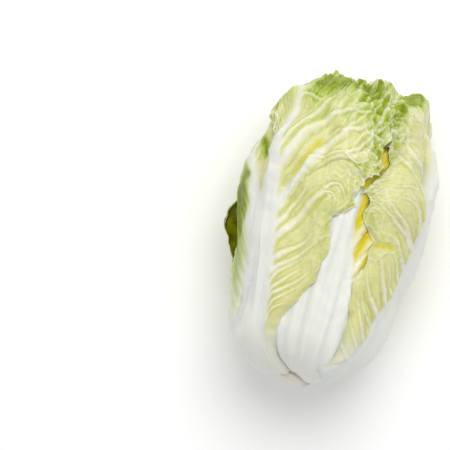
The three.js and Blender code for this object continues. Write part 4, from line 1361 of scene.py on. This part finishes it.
class CABBAGE_OT_stage(bpy.types.Operator):
    """Sets the floor, the lights and the camera"""

    bl_idname = "cabbage.stage"
    bl_label = "Stage"

    def execute(self, context):
        settings = context.scene.cabbage_stage
        scene = context.scene
        corners = np.array([(-1, -1, 0), (1, -1, 0), (1, 1, 0), (-1, 1, 0)]) * FLOOR_HALF - [0, 0, FLOOR_DROP]
        floor = mesh_object("floor", corners, np.array([[0, 1, 2, 3]]))
        floor.data.materials.append(paper_material(settings))

        right = np.array([math.cos(ROLL), math.sin(ROLL)])
        upward = np.array([-math.sin(ROLL), math.cos(ROLL)])
        off_right = (PICTURE / 2 - FOOT_PIXEL[0]) * MM_PER_PIXEL / 1000
        off_up = (FOOT_PIXEL[1] - PICTURE / 2) * MM_PER_PIXEL / 1000
        over = HEAD_FOOT[:2] / 1000 + right * off_right + upward * off_up
        camera = bpy.data.cameras.new("camera")
        camera.sensor_width = SENSOR
        camera.lens = SENSOR * (settings.camera_height - OUTLINE_HEIGHT) / (PICTURE * MM_PER_PIXEL / 1000)
        eye = bpy.data.objects.new("camera", camera)
        eye.location = (*over, settings.camera_height)
        eye.rotation_euler = (0, 0, ROLL)
        scene.collection.objects.link(eye)
        scene.camera = eye

        lamp = bpy.data.lights.new("key", "AREA")
        lamp.shape = "DISK"
        lamp.size = LAMP_SIZE
        lamp.energy = settings.key_power
        key = bpy.data.objects.new("key", lamp)
        key.location = (*(upward * LAMP_UP + right * LAMP_RIGHT), LAMP_HEIGHT)
        aim = Vector((0, 0, OUTLINE_HEIGHT)) - key.location
        key.rotation_euler = aim.to_track_quat("-Z", "Y").to_euler()
        scene.collection.objects.link(key)

        world = bpy.data.worlds.new("studio")
        world.use_nodes = True
        back = world.node_tree.nodes["Background"]
        back.inputs["Color"].default_value = (1, 1, 1, 1)
        back.inputs["Strength"].default_value = settings.fill
        scene.world = world
        scene.view_settings.view_transform = "Standard"
        return {"FINISHED"}


class CABBAGE_PT_panel(bpy.types.Panel):
    """Lists the head's pieces and the stage"""

    bl_idname = "CABBAGE_PT_panel"
    bl_label = "Napa cabbage"
    bl_space_type = "VIEW_3D"
    bl_region_type = "UI"
    bl_category = "Cabbage"

    def draw(self, context):
        for operator in OPERATORS:
            self.layout.operator(operator.bl_idname)
        for name in SETTINGS:
            settings = getattr(context.scene, name)
            for key in settings.__annotations__:
                self.layout.prop(settings, key)


OPERATORS = (CABBAGE_OT_leaves, CABBAGE_OT_heart, CABBAGE_OT_stem, CABBAGE_OT_stage)
SETTINGS = {"cabbage_leaves": LeafSettings, "cabbage_stem": StemSettings, "cabbage_stage": StageSettings}


def register():
    for cls in (*SETTINGS.values(), *OPERATORS, CABBAGE_PT_panel):
        bpy.utils.register_class(cls)
    for name, cls in SETTINGS.items():
        setattr(bpy.types.Scene, name, bpy.props.PointerProperty(type=cls))


def unregister():
    for name in SETTINGS:
        delattr(bpy.types.Scene, name)
    for cls in reversed((*SETTINGS.values(), *OPERATORS, CABBAGE_PT_panel)):
        bpy.utils.unregister_class(cls)


def main():
    register()
    bpy.ops.cabbage.leaves()
    bpy.ops.cabbage.heart()
    bpy.ops.cabbage.stem()
    bpy.ops.cabbage.stage()


if __name__ == "__main__":
    main()
